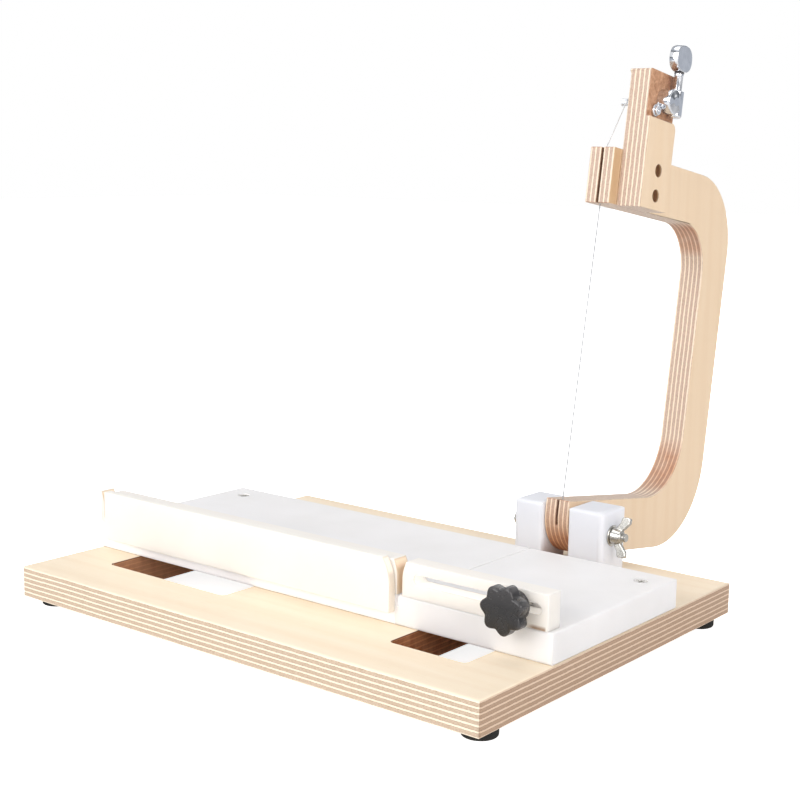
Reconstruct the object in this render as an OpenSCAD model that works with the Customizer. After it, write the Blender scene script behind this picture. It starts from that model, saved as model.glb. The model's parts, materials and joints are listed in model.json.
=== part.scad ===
// Single-wire soap cutter: a plywood base on rubber feet, a white plastic bed with a
// slotted fence, and a C-shaped plywood arm that swings a tensioned wire down through
// the bed's kerf. Lengths in millimetres, angles in degrees.
// Working frame: x from the left end of the base, y from its front edge, z from its top.
// The drawn part stands on its feet at z = 0, centred over its footprint.

/* [Base] */
// length of the base board along x
base_w = 320; // [305:1:360]
// depth of the base board along y
base_d = 240; // [230:1:262]
// thickness of the base board, a 13-ply sheet
ply_t = 18; // [15:0.5:21]
// eased edge of the base board
base_ease = 1; // [0.5:0.1:2]
// left end of the long base slot
slot_long_x = 34; // [26:1:50]
// length of the long base slot
slot_long_w = 92; // [60:1:110]
// gap between the short base slot and the right end of the base
slot_short_in = 33.5; // [30:0.5:36]
// length of the short base slot
slot_short_w = 46.5; // [30:0.5:50]
// front edge of both base slots
slot_y = 35; // [25:1:40]
// depth of both base slots along y, running on under the bed
slot_d = 68; // [50:1:80]
// corner radius of the base slots
slot_r = 3; // [1:0.5:8]
// diameter of a rubber foot
foot_d = 17.5; // [14:0.5:21]
// height of a rubber foot
foot_h = 5; // [3:0.5:10]
// foot centre from the end of the base
foot_inset_x = 11; // [11:0.5:20]
// foot centre from the front or back of the base
foot_inset_y = 16; // [12:0.5:22]

/* [Bed and fence] */
// front edge of the bed
bed_y = 57.5; // [55:0.5:62]
// gap between the bed and the pivot blocks
bed_back_gap = 24; // [20:0.5:40]
// thickness of the bed
bed_t = 16; // [14:0.5:20]
// eased edge of the bed
bed_ease = 0.8; // [0.4:0.1:1.5]
// height of the fence bar above the bed
fence_h = 18; // [16:0.5:26]
// thickness of the fence bar
fence_t = 10; // [8:0.5:14]
// gap between the end of the fence bar and the right end of the bed
fence_end_gap = 3; // [1:0.5:6]
// width of the wire slot at the bottom of its funnel
wire_slot_w = 3.2; // [2:0.1:3.5]
// how far each side of the funnel opens at the top
flare_w = 2.45; // [1.5:0.05:3]
// height over which the funnel opens
flare_h = 10; // [6:0.5:14]
// width of the kerf in the bed that takes the wire
bed_kerf_w = 1.2; // [1.2:0.1:2.4]
// depth of the kerf in the bed
bed_kerf_depth = 6; // [6:0.5:9]
// height of the knob slot in the fence
knob_slot_h = 5.4; // [5.3:0.1:6.5]
// gap between the wire slot and the knob slot
knob_slot_start = 7.1; // [6.5:0.1:12]
// gap between the knob slot and the right end of the fence bar
knob_slot_end = 4; // [3:0.5:10]
// thickness of the guide plate in front of the fence
guide_t = 5.2; // [3:0.1:7]
// height of the guide plate
guide_h = 28.5; // [24:0.5:30]
// how far the guide plate stands above the fence bar
guide_rise = 1.5; // [0.5:0.5:3]
// left end of the guide plate
guide_x = 9.5; // [9:0.5:14]

/* [Stop] */
// outer diameter of the star knob
knob_d = 24.5; // [23:0.5:25.5]
// number of lobes on the star knob
knob_lobes = 8; // [5:1:9]
// thickness of the lobed head of the knob
knob_head_t = 7; // [6:0.5:12]
// length of the boss behind the lobed head
knob_boss_l = 7.5; // [5.5:0.5:9]
// diameter of the boss
knob_boss_d = 14.5; // [10:0.5:16]
// diameter of the knob's threaded stud
stud_d = 5; // [4:0.1:5]
// width of the stop block along x
stop_w = 14; // [11:0.5:18]
// depth of the stop block behind the fence
stop_d = 10; // [8:0.5:14]
// height of the stop block
stop_h = 14; // [12.5:0.5:16]
// stud axis from the right end of the base
stop_from_end = 20.5; // [18:0.5:30]

/* [Pivot] */
// middle of the arm's thickness along x, where the wire runs
wire_x = 227.5; // [227:0.5:229]
// pivot axis from the back edge of the base
pivot_back = 28.5; // [27:0.5:30]
// pivot axis above the base
pivot_z = 22; // [21.5:0.5:24]
// width of the left pivot block along x
block_left_w = 20; // [18:0.5:26]
// width of the right pivot block along x
block_right_w = 23.5; // [18:0.5:26]
// depth of a pivot block along y
block_d = 26; // [22:0.5:28]
// height of a pivot block
block_h = 36.5; // [33:0.5:42]
// pivot axis behind the front face of the blocks
block_pivot_y = 10.5; // [9:0.5:13]
// rounded edge of a pivot block
block_r = 3; // [1:0.5:4]
// gap between the arm and each pivot block
arm_side_gap = 0.3; // [0.2:0.1:1]
// diameter of the pivot bolt
bolt_d = 5; // [4:0.1:5.6]
// diameter of the washers on the bolt
washer_d = 12; // [11:0.5:15]
// thickness of the washers
washer_t = 1; // [0.8:0.1:1.6]
// distance between the tips of the wings of the nut
wing_span = 24; // [21:0.5:28]
// turn of the wing nut away from the arm's upright line
wing_turn = -14; // [-40:1:40]

/* [Arm] */
// thickness of the sheet that the arm and the tuner block are cut from
arm_t = 16; // [14:0.5:18]
// how far the arm leans back where it is parked
arm_lean = 8.4; // [6:0.1:8.9]
// width of the arm's limbs and spine
limb_w = 32; // [28:0.5:32]
// clear height of the throat between the limbs
throat_h = 171.5; // [150:0.5:190]
// clear depth of the throat from the pivot to the spine
throat_d = 119.5; // [105:0.5:130]
// how far the lower limb reaches in front of the pivot
heel_reach = 10; // [9:0.5:12]
// how far the upper limb's tip reaches in front of the pivot line
tip_reach = 4.5; // [3.5:0.5:6]
// outer corner radius at the top of the spine
arm_top_r = 45; // [36:1:50]
// outer corner radius at the bottom of the spine
arm_foot_r = 55; // [40:1:60]
// inner corner radius at the top of the throat
throat_top_r = 29; // [15:1:35]
// inner corner radius at the bottom of the throat
throat_foot_r = 39; // [20:1:45]
// width of the saw kerfs that take the wire
arm_kerf_w = 1.4; // [1.1:0.1:2]
// depth of the kerf in the tip
tip_kerf = 4.3; // [3.5:0.1:5]
// depth of the kerf in the heel
heel_kerf = 5.6; // [5:0.1:6.5]
// height of the kerf in the heel
heel_kerf_h = 15; // [12:0.5:16]
// diameter of the cutting wire
wire_d = 0.6; // [0.4:0.05:0.8]
// turns of the wire on the tuner post
wire_turns = 3; // [2:1:4]
// distance from turn to turn on the post
wire_pitch = 1.2; // [1.1:0.05:1.3]

/* [Tuner] */
// width of the tuner block, front to back
tblock_w = 31; // [29:0.5:34]
// height of the tuner block
tblock_h = 78.5; // [76:0.5:84]
// height of its lower, full-thickness part
tblock_low_h = 51.5; // [46:0.5:51.5]
// depth of the rebate that the tuner sits in
rebate = 2.5; // [1:0.5:5]
// front face of the tuner block behind the arm's tip
tblock_set_back = 7.5; // [6:0.5:9]
// diameter of the counterbored screw holes in the tuner block
cbore_d = 7.5; // [6.5:0.5:9]
// diameter of the tuner's gear case
case_d = 14.5; // [13:0.5:15.5]
// height of the gear case off the block
case_h = 9.5; // [9:0.25:10.5]
// diameter of the worm barrel
barrel_d = 8; // [7:0.25:8.5]
// length of the worm barrel
barrel_l = 16; // [14:0.5:18]
// diameter of the string post
post_d = 5; // [4:0.1:5.5]
// how far the post stands out of the block
post_reach = 13.5; // [12.5:0.5:15]
// offset between the post and the button shaft
worm_offset = 7.75; // [7:0.25:8.5]
// diameter of the button shaft
shaft_d = 4.6; // [3.6:0.1:5]
// height of the button along its shaft
button_h = 15.5; // [13:0.1:16]
// width of the button across its shaft
button_w = 17.6; // [16.5:0.1:18.5]
// thickness of the button
button_t = 5.4; // [5:0.1:7]

/* [Hidden] */
over = 1;
corner_fn = 64;
flare_fn = 192;
round_fn = 48;
small_fn = 32;

// colours, only to tell the pieces apart
ply_c = "burlywood";
plastic_c = "whitesmoke";
steel_c = "silver";
rubber_c = "dimgray";
black_c = "darkslategray";

// running fit of a shaft in its bore, all round
run_gap = 0.05;
// clearance under and beside what slides
slide_gap = 0.3;

// pivot, and the bed in front of it
pivot_y = base_d - pivot_back;
block_front = pivot_y - block_pivot_y;
bed_d = block_front - bed_back_gap - bed_y;
slot_short_x = base_w - slot_short_in - slot_short_w;

// fence and bed; the wire slot lies a little to the right of the wire
wire_slot_in = 0.5;
bed_top = bed_t;
fence_top = bed_top + fence_h;
fence_end = base_w - fence_end_gap;
fence_back = bed_y + fence_t;
slot_left = wire_x - wire_slot_in;
slot_right = slot_left + wire_slot_w;
end_slot_x = 3.2;
end_slot_foot = 2;
flare_r = (flare_h * flare_h + flare_w * flare_w) / (2 * flare_w);
knob_slot_x = slot_right + knob_slot_start;
knob_slot_w = fence_end - knob_slot_end - knob_slot_x;
guide_top = fence_top + guide_rise;
guide_end_gap = 1.1;
guide_end = slot_left - guide_end_gap;
guide_flare_w = 5;
guide_flare_h = 14;
guide_flare_r = (guide_flare_h * guide_flare_h + guide_flare_w * guide_flare_w) / (2 * guide_flare_w);

// wood screws that hold the bed
bed_screw_d = 3.6;
bed_screw_head_d = 7.6;
bed_screw_head_h = 2.4;
bed_screw_l = 27;
bed_screw_sink = 0.4;
bed_screw_in_left = 17;
bed_screw_in_right = 13;
bed_screw_in_front = 17;
bed_screw_in_back = 16;
bed_screw_x = [bed_screw_in_left, base_w - bed_screw_in_right];
bed_screw_y = [bed_y + bed_screw_in_front, bed_y + bed_d - bed_screw_in_back];

// foot screws, in a dish under each foot
foot_dish_d = 9;
foot_dish = 2.4;
foot_screw_d = 3;
foot_screw_head_d = 6.4;
foot_screw_head_h = 1.8;
foot_screw_l = 12;
foot_draft = 0.8;

// knob, stud and stop
stop_x = base_w - stop_from_end;
stop_height_share = 0.545;
stop_z = bed_top + fence_h * stop_height_share;
knob_lobe_r = 3.2;
knob_core_r = 10.6;
knob_dome = 2;
knob_back_r = 1;
knob_back = bed_y - 2 * run_gap;
knob_front = knob_back - knob_boss_l - knob_head_t;
stud_bury = 8;

// pivot
arm_left = wire_x - arm_t / 2;
arm_right = wire_x + arm_t / 2;
block_left_x = arm_left - arm_side_gap - block_left_w;
block_right_x = arm_right + arm_side_gap;
block_screw_d = 4;
block_screw_head_d = 8;
block_screw_head_h = 3;
block_screw_l = 26;
block_screw_in = 5.5;
bolt_head_w = 8;
bolt_head_t = 3.4;
bolt_left = block_left_x - washer_t;
bolt_right = block_right_x + block_right_w + washer_t;
bolt_over = 8.5;
wing_hub_d = 9.6;
wing_hub_tip_d = 7.6;
wing_hub_h = 6;
wing_t = 2.6;
wing_root_r = 3.4;
wing_width = 5.4;
wing_rise = 3.2;
wing_base = 1.2;
wing_corner = 1.3;

// arm, in its own u (back) and v (up) directions from the pivot
limb_half = limb_w / 2;
throat_top = limb_half + throat_h;
arm_top = throat_top + limb_w;
arm_back = throat_d + limb_w;
heel_r = 24;
kerf_floor = tip_kerf - tip_reach;
heel_floor = heel_kerf - heel_reach;
pin_d = 3;
pin_v = limb_half / 2;
pin_wire_share = 0.4;
pin_u = heel_floor + pin_d / 2 - pin_wire_share * wire_d;
pin_short = 2.7;
pin_l = arm_t - pin_short;

// tuner block, in the arm's directions
tblock_front = tblock_set_back - tip_reach;
tblock_drop = 0.5;
tblock_foot = throat_top - tblock_drop;
tblock_x = arm_right;
tuner_face = tblock_x + arm_t - rebate;
tblock_shoulder_r = 4.5;
tblock_edge_r = 1.5;
tscrew_share = 0.535;
tscrew_u = tblock_front + tblock_w * tscrew_share;
tscrew_low = 8.2;
tscrew_step = 14.4;
tscrew_d = 4;
tscrew_head_d = 6.8;
tscrew_head_h = 2.6;
tscrew_l = 22;
cbore_depth = 6;

// tuner
post_in = 16.4;
post_above = 10.5;
post_u = tblock_front + post_in;
post_v = tblock_foot + tblock_low_h + post_above;
worm_u = post_u + worm_offset;
worm_lift = 0.5;
worm_x = tuner_face + barrel_d / 2 + worm_lift;
case_edge_r = 2.2;
barrel_edge_r = 1.1;
ear_angle = 218;
ear_d = 7;
ear_neck_w = 5.8;
ear_t = 1.6;
ear_screw_d = 2.4;
ear_screw_head_d = 5.4;
ear_reach = (case_d + ear_screw_head_d) / 2 + slide_gap;
ear_screw_head_h = 1.7;
ear_screw_l = 10;
bush_d = 8;
bush_flange_d = 10;
bush_flange_t = 1.2;
bush_l = 8;
post_waist = 0.8;
post_waist_d = post_d - post_waist;
post_bore_gap = 1;
post_tip = 1.8;
post_hole_d = 1.2;
post_in_case = 4;
post_chamfer = 0.4;
shaft_show = 9.4;
shaft_top = post_v + barrel_l / 2 + shaft_show;
shaft_in_barrel = 9;
collar_d = 5.2;
collar_t = 1.4;
bwasher_d = 5.8;
bwasher_t = 0.9;
button_foot = shaft_top + bwasher_t;
button_round = 1;
spigot_d = 2.6;
spigot_l = 9;
bscrew_d = 1.8;
bscrew_head_d = 3.8;
bscrew_head_h = 1.2;
bscrew_l = 5;

// how far the parked arm reaches behind the base, and so the middle of the footprint
turn_u = arm_back - arm_top_r;
turn_v = arm_top - arm_top_r;
rear = pivot_y + turn_u * cos(arm_lean) + turn_v * sin(arm_lean) + arm_top_r;

// shared forms

// moves the working frame onto the part's frame
module placed() {
    translate([-base_w / 2, -rear / 2, foot_h + ply_t]) children();
}

// puts the arm's frame (x, u, v) into the parked pose
module parked() {
    placed() translate([0, pivot_y, pivot_z]) rotate([-arm_lean, 0, 0]) children();
}

// the waste outside a quarter circle at a corner whose body lies in +x, +y
module corner_waste(r) {
    difference() {
        translate([-over, -over]) square([r + over, r + over]);
        translate([r, r]) circle(r, $fn = corner_fn);
    }
}

// a rectangle with all corners rounded
module round_rect(w, d, r) {
    difference() {
        square([w, d]);
        corner_waste(r);
        translate([w, 0]) mirror([1, 0]) corner_waste(r);
        translate([0, d]) mirror([0, 1]) corner_waste(r);
        translate([w, d]) rotate(180) corner_waste(r);
    }
}

// a rectangle with all corners cut at 45 degrees
module eased_rect(w, d, e) {
    polygon([[e, 0], [w - e, 0], [w, e], [w, d - e], [w - e, d], [e, d], [0, d - e], [0, e]]);
}

// a flat board with every edge eased
module eased_board(w, d, h, e) {
    intersection() {
        linear_extrude(h) eased_rect(w, d, e);
        translate([w, 0, 0]) rotate([90, 0, -90]) linear_extrude(w) mirror([1, 0]) eased_rect(d, h, e);
        translate([0, d, 0]) rotate([90, 0, 0]) linear_extrude(d) eased_rect(w, h, e);
    }
}

// cylinder along x from x0, centred on y, z
module rod_x(d, x0, l, fn = round_fn) {
    translate([x0, 0, 0]) rotate([0, 90, 0]) cylinder(d = d, h = l, $fn = fn);
}

// countersunk wood screw, head up, top of the head at z = 0
module flat_screw(d, head_d, head_h, l) {
    difference() {
        union() {
            translate([0, 0, -head_h]) cylinder(d1 = d, d2 = head_d, h = head_h, $fn = small_fn);
            translate([0, 0, -l]) cylinder(d = d, h = l - head_h, $fn = small_fn);
        }
        cross_recess(head_d, head_h);
    }
}

// round-headed screw, head up, seat of the head at z = 0
module pan_screw(d, head_d, head_h, l) {
    difference() {
        union() {
            rotate_extrude($fn = small_fn) pan_profile(head_d, head_h);
            translate([0, 0, -l]) cylinder(d = d, h = l, $fn = small_fn);
        }
        translate([0, 0, head_h]) cross_recess(head_d, head_h);
    }
}

// half section of a pan head
module pan_profile(head_d, head_h) {
    edge = head_h / 2;
    difference() {
        square([head_d / 2, head_h]);
        translate([head_d / 2, head_h]) rotate(180) corner_waste(edge);
    }
}

// cross for the driver, open at z = 0
module cross_recess(head_d, head_h) {
    wide = head_d * 0.55;
    thin = head_d * 0.16;
    deep = head_h * 0.5;
    for (turn = [0, 90]) {
        rotate(turn) translate([-wide / 2, -thin / 2, -deep]) cube([wide, thin, deep + over]);
    }
}

// holes that the screws of the bed pass through, from z = 0 down
module flat_screw_hole(d, head_d, head_h, l) {
    translate([0, 0, -head_h]) cylinder(d1 = d, d2 = head_d, h = head_h, $fn = small_fn);
    cylinder(d = head_d, h = over, $fn = small_fn);
    translate([0, 0, -l]) cylinder(d = d, h = l, $fn = small_fn);
}

// base

module foot_places() {
    for (x = [foot_inset_x, base_w - foot_inset_x]) {
        for (y = [foot_inset_y, base_d - foot_inset_y]) {
            translate([x, y, -ply_t]) children();
        }
    }
}

module bed_screw_places() {
    for (x = bed_screw_x) {
        for (y = bed_screw_y) {
            translate([x, y, bed_top - bed_screw_sink]) children();
        }
    }
}

// the block screws stand head down under the base
module block_screw_places() {
    for (x = [block_left_x + block_left_w / 2, block_right_x + block_right_w / 2]) {
        for (y = [block_front + block_screw_in, block_front + block_d - block_screw_in]) {
            translate([x, y, -ply_t]) mirror([0, 0, 1]) children();
        }
    }
}

module base_slot(x, w) {
    translate([x, slot_y, -ply_t - over]) linear_extrude(ply_t + 2 * over) round_rect(w, slot_d, slot_r);
}

module base_board() {
    color(ply_c) placed() difference() {
        translate([0, 0, -ply_t]) eased_board(base_w, base_d, ply_t, base_ease);
        base_slot(slot_long_x, slot_long_w);
        base_slot(slot_short_x, slot_short_w);
        bed_screw_places() translate([0, 0, -bed_screw_l]) cylinder(d = bed_screw_d, h = bed_screw_l, $fn = small_fn);
        block_screw_places() flat_screw_hole(block_screw_d, block_screw_head_d, block_screw_head_h, block_screw_l);
        foot_places() cylinder(d = foot_screw_d, h = foot_screw_l, $fn = small_fn);
    }
}

module rubber_feet() {
    color(rubber_c) placed() foot_places() difference() {
        translate([0, 0, -foot_h]) cylinder(d1 = foot_d, d2 = foot_d + foot_draft, h = foot_h, $fn = round_fn);
        translate([0, 0, -foot_h - over]) cylinder(d = foot_dish_d, h = foot_dish + over, $fn = round_fn);
        translate([0, 0, -foot_h]) cylinder(d = foot_screw_d, h = foot_h + over, $fn = small_fn);
    }
}

module foot_screws() {
    color(steel_c) placed() foot_places() translate([0, 0, foot_dish - foot_h]) mirror([0, 0, 1])
        pan_screw(foot_screw_d, foot_screw_head_d, foot_screw_head_h, foot_screw_l);
}

// bed and fence

module bed() {
    color(plastic_c) placed() difference() {
        translate([0, bed_y, 0]) eased_board(base_w, bed_d, bed_t, bed_ease);
        translate([wire_x - bed_kerf_w / 2, bed_y - over, bed_top - bed_kerf_depth])
            cube([bed_kerf_w, bed_d + 2 * over, bed_kerf_depth + over]);
        bed_screw_places() flat_screw_hole(bed_screw_d, bed_screw_head_d, bed_screw_head_h, bed_screw_l);
    }
}

module bed_screws() {
    color(steel_c) placed() bed_screw_places() flat_screw(bed_screw_d, bed_screw_head_d, bed_screw_head_h, bed_screw_l);
}

// what a curved funnel side takes off a wall that ends at x = 0, from y = 0 up
module flare_waste(w, h, r) {
    difference() {
        translate([-w, 0]) square([w + over, h + over]);
        translate([-r, 0]) circle(r, $fn = flare_fn);
    }
}

// stands an x, z outline up so that its thickness runs back from y0
module upright(y0, t) {
    translate([0, y0 + t, 0]) rotate([90, 0, 0]) linear_extrude(t) children();
}

module fence_left() {
    color(plastic_c) placed() upright(bed_y, fence_t) difference() {
        translate([0, bed_top]) square([slot_left, fence_h]);
        translate([slot_left, fence_top - flare_h]) flare_waste(flare_w, flare_h, flare_r);
        translate([end_slot_x, bed_top + end_slot_foot]) square([wire_slot_w, fence_h]);
        translate([end_slot_x, fence_top - flare_h]) flare_waste(flare_w, flare_h, flare_r);
        translate([end_slot_x + wire_slot_w, fence_top - flare_h]) mirror([1, 0]) flare_waste(flare_w, flare_h, flare_r);
    }
}

module fence_right() {
    color(plastic_c) placed() upright(bed_y, fence_t) difference() {
        translate([slot_right, bed_top]) square([fence_end - slot_right, fence_h]);
        translate([slot_right, fence_top - flare_h]) mirror([1, 0]) flare_waste(flare_w, flare_h, flare_r);
        translate([knob_slot_x + knob_slot_h / 2, stop_z - knob_slot_h / 2]) square([knob_slot_w - knob_slot_h, knob_slot_h]);
        for (x = [knob_slot_x + knob_slot_h / 2, knob_slot_x + knob_slot_w - knob_slot_h / 2]) {
            translate([x, stop_z]) circle(d = knob_slot_h, $fn = round_fn);
        }
    }
}

module front_guide() {
    color(plastic_c) placed() upright(bed_y - guide_t, guide_t) difference() {
        translate([guide_x, guide_top - guide_h]) square([guide_end - guide_x, guide_h]);
        translate([guide_end, guide_top - guide_flare_h]) flare_waste(guide_flare_w, guide_flare_h, guide_flare_r);
    }
}

// stop with its star knob

module star_outline() {
    ring = knob_d / 2 - knob_lobe_r;
    circle(knob_core_r, $fn = round_fn);
    for (i = [0 : knob_lobes - 1]) {
        rotate(i * 360 / knob_lobes) translate([0, ring]) circle(knob_lobe_r, $fn = small_fn);
    }
}

// half section that rounds the head's rim
module knob_profile() {
    difference() {
        square([knob_d / 2, knob_head_t]);
        translate([knob_d / 2, knob_head_t]) rotate(180) corner_waste(knob_dome);
        translate([knob_d / 2, 0]) mirror([1, 0]) corner_waste(knob_back_r);
    }
}

module knob() {
    color(black_c) placed() translate([stop_x, knob_back, stop_z]) rotate([90, 0, 0]) difference() {
        union() {
            cylinder(d = knob_boss_d, h = knob_boss_l, $fn = round_fn);
            translate([0, 0, knob_boss_l]) intersection() {
                linear_extrude(knob_head_t) star_outline();
                rotate_extrude($fn = round_fn) knob_profile();
            }
        }
        translate([0, 0, -over]) cylinder(d = stud_d, h = stud_bury + over, $fn = small_fn);
    }
}

module knob_stud() {
    color(steel_c) placed() translate([stop_x, knob_back - stud_bury, stop_z]) rotate([-90, 0, 0])
        cylinder(d = stud_d, h = stud_bury + fence_t + stop_d - over, $fn = small_fn);
}

module stop_block() {
    color(plastic_c) placed() translate([stop_x, fence_back + 2 * run_gap, stop_z]) difference() {
        translate([-stop_w / 2, 0, bed_top + slide_gap - stop_z]) cube([stop_w, stop_d, stop_h]);
        translate([0, -over, 0]) rotate([-90, 0, 0]) cylinder(d = stud_d + 2 * run_gap, h = stop_d + 2 * over, $fn = small_fn);
    }
}

// pivot

// block with rounded upright and top edges
module pivot_block(x, w) {
    color(plastic_c) placed() translate([x, block_front, 0]) difference() {
        intersection() {
            linear_extrude(block_h) round_rect(w, block_d, block_r);
            translate([0, block_d, 0]) rotate([90, 0, 0]) linear_extrude(block_d) top_rounded(w, block_h, block_r);
            rotate([90, 0, 90]) linear_extrude(w) top_rounded(block_d, block_h, block_r);
        }
        translate([0, block_pivot_y, pivot_z]) rod_x(bolt_d, -over, w + 2 * over);
        translate([-x, -block_front, 0]) block_screw_places()
            translate([0, 0, -block_screw_l]) cylinder(d = block_screw_d, h = block_screw_l, $fn = small_fn);
    }
}

// rectangle whose two upper corners are rounded
module top_rounded(w, h, r) {
    difference() {
        square([w, h]);
        translate([0, h]) mirror([0, 1]) corner_waste(r);
        translate([w, h]) rotate(180) corner_waste(r);
    }
}

module pivot_block_left() {
    pivot_block(block_left_x, block_left_w);
}

module pivot_block_right() {
    pivot_block(block_right_x, block_right_w);
}

module pivot_block_screws() {
    color(steel_c) placed() block_screw_places()
        flat_screw(block_screw_d, block_screw_head_d, block_screw_head_h, block_screw_l);
}

module on_pivot() {
    placed() translate([0, pivot_y, pivot_z]) children();
}

module pivot_bolt() {
    color(steel_c) on_pivot() {
        rod_x(bolt_d, bolt_left, bolt_right + bolt_over - bolt_left);
        translate([bolt_left - bolt_head_t, 0, 0]) rotate([0, 90, 0]) linear_extrude(bolt_head_t) hex_outline(bolt_head_w);
    }
}

// hexagon of a width across its flats, from three turned squares
module hex_outline(w) {
    intersection_for(turn = [0, 60, 120]) {
        rotate(turn) square([w, 2 * w], center = true);
    }
}

module pivot_washers() {
    color(steel_c) on_pivot() {
        for (x = [bolt_left, bolt_right - washer_t]) {
            difference() {
                rod_x(washer_d, x, washer_t);
                rod_x(bolt_d + 2 * run_gap, x - over, washer_t + 2 * over);
            }
        }
    }
}

// one wing: a flat ear that leans away from the block, drawn along +y with x outward
module wing_outline() {
    tip = wing_span / 2;
    outer = wing_rise + wing_width;
    polygon([
        [wing_base, 0],
        [wing_base, wing_root_r],
        [wing_rise, tip - wing_corner],
        [wing_rise + wing_corner, tip],
        [outer - wing_corner, tip],
        [outer, tip - wing_corner],
        [wing_hub_h, wing_root_r],
        [wing_hub_h, 0]
    ]);
}

module wing_nut() {
    color(steel_c) on_pivot() translate([bolt_right + run_gap, 0, 0]) rotate([wing_turn, 0, 0]) difference() {
        union() {
            rotate([0, 90, 0]) cylinder(d1 = wing_hub_d, d2 = wing_hub_tip_d, h = wing_hub_h, $fn = round_fn);
            for (turn = [0, 180]) {
                rotate([90 + turn, 0, 0]) translate([0, 0, -wing_t / 2]) linear_extrude(wing_t) wing_outline();
            }
        }
        rod_x(bolt_d + 2 * run_gap, -over, wing_hub_h + 2 * over);
    }
}

// arm

// C outline in the arm's u, v directions
module arm_outline() {
    difference() {
        translate([-heel_reach, -limb_half]) square([heel_reach + arm_back, arm_top + limb_half]);
        translate([-heel_reach - over, limb_half]) square([heel_reach - tip_reach + over, arm_top + over]);
        translate([-heel_reach - over, limb_half]) difference() {
            square([heel_reach + over + throat_d, throat_h]);
            translate([heel_reach + over + throat_d, 0]) mirror([1, 0]) corner_waste(throat_foot_r);
            translate([heel_reach + over + throat_d, throat_h]) rotate(180) corner_waste(throat_top_r);
        }
        translate([arm_back, -limb_half]) mirror([1, 0]) corner_waste(arm_foot_r);
        translate([arm_back, arm_top]) rotate(180) corner_waste(arm_top_r);
        translate([-heel_reach, -limb_half]) corner_waste(heel_r);
    }
}

// stands a u, v outline up in the arm's frame, its thickness running from x0
module arm_sheet(x0, t) {
    translate([x0, 0, 0]) rotate([90, 0, 90]) linear_extrude(t) children();
}

module tuner_screw_places() {
    for (v = [tblock_foot + tscrew_low, tblock_foot + tscrew_low + tscrew_step]) {
        translate([tblock_x + arm_t - cbore_depth, tscrew_u, v]) rotate([0, 90, 0]) children();
    }
}

module cutting_arm() {
    color(ply_c) parked() difference() {
        arm_sheet(arm_left, arm_t) arm_outline();
        rod_x(bolt_d + 2 * run_gap, arm_left - over, arm_t + 2 * over);
        arm_sheet(wire_x - arm_kerf_w / 2, arm_kerf_w)
            translate([-tip_reach - over, throat_top - over]) square([tip_kerf + over, limb_w + 2 * over]);
        arm_sheet(wire_x - arm_kerf_w / 2, arm_kerf_w)
            translate([-heel_reach - over, limb_half - heel_kerf_h]) square([heel_kerf + over, heel_kerf_h + over]);
        translate([0, pin_u, pin_v]) rod_x(pin_d, arm_left - over, pin_l + over, small_fn);
        tuner_screw_places() translate([0, 0, -tscrew_l]) cylinder(d = tscrew_d, h = tscrew_l, $fn = small_fn);
    }
}

module wire_anchor_pin() {
    color(steel_c) parked() translate([0, pin_u, pin_v]) rod_x(pin_d, arm_left, pin_l, small_fn);
}

// tuner block

module tuner_block_outline() {
    difference() {
        translate([tblock_front, tblock_foot]) square([tblock_w, tblock_h]);
        translate([tblock_front, tblock_foot + tblock_h]) mirror([0, 1]) corner_waste(tblock_edge_r);
        translate([tblock_front + tblock_w, tblock_foot + tblock_h]) rotate(180) corner_waste(tblock_edge_r);
    }
}

module tuner_block() {
    color(ply_c) parked() difference() {
        arm_sheet(tblock_x, arm_t) tuner_block_outline();
        arm_sheet(tuner_face, rebate + over)
            translate([tblock_front - over, tblock_foot + tblock_low_h]) square([tblock_w + 2 * over, tblock_h]);
        arm_sheet(tuner_face, rebate + over)
            translate([tblock_front + tblock_w, tblock_foot + tblock_low_h]) rotate(180) corner_waste(tblock_shoulder_r);
        tuner_screw_places() cylinder(d = cbore_d, h = cbore_depth + over, $fn = small_fn);
        tuner_screw_places() translate([0, 0, -tscrew_l]) cylinder(d = tscrew_d, h = tscrew_l + over, $fn = small_fn);
        on_post() rod_x(bush_d, tblock_x - over, bush_l + over, small_fn);
        on_post() rod_x(post_d + post_bore_gap, tblock_x, arm_t, small_fn);
        on_ear() rod_x(ear_screw_d, -ear_screw_l, ear_screw_l + over, small_fn);
    }
}

module tuner_block_screws() {
    color(steel_c) parked() tuner_screw_places() pan_screw(tscrew_d, tscrew_head_d, tscrew_head_h, tscrew_l);
}

// tuner

module on_post() {
    translate([0, post_u, post_v]) children();
}

// the ear's screw hole, x measured from the face that the tuner sits on
module on_ear() {
    translate([tuner_face, post_u + ear_reach * cos(ear_angle), post_v + ear_reach * sin(ear_angle)]) children();
}

module case_profile() {
    difference() {
        square([case_d / 2, case_h]);
        translate([case_d / 2, case_h]) rotate(180) corner_waste(case_edge_r);
    }
}

module barrel_profile() {
    difference() {
        square([barrel_d / 2, barrel_l]);
        translate([barrel_d / 2, barrel_l]) rotate(180) corner_waste(barrel_edge_r);
        translate([barrel_d / 2, 0]) mirror([1, 0]) corner_waste(barrel_edge_r);
    }
}

// from here on the button's shaft points up along z
module on_worm() {
    translate([worm_x, worm_u, 0]) children();
}

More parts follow.
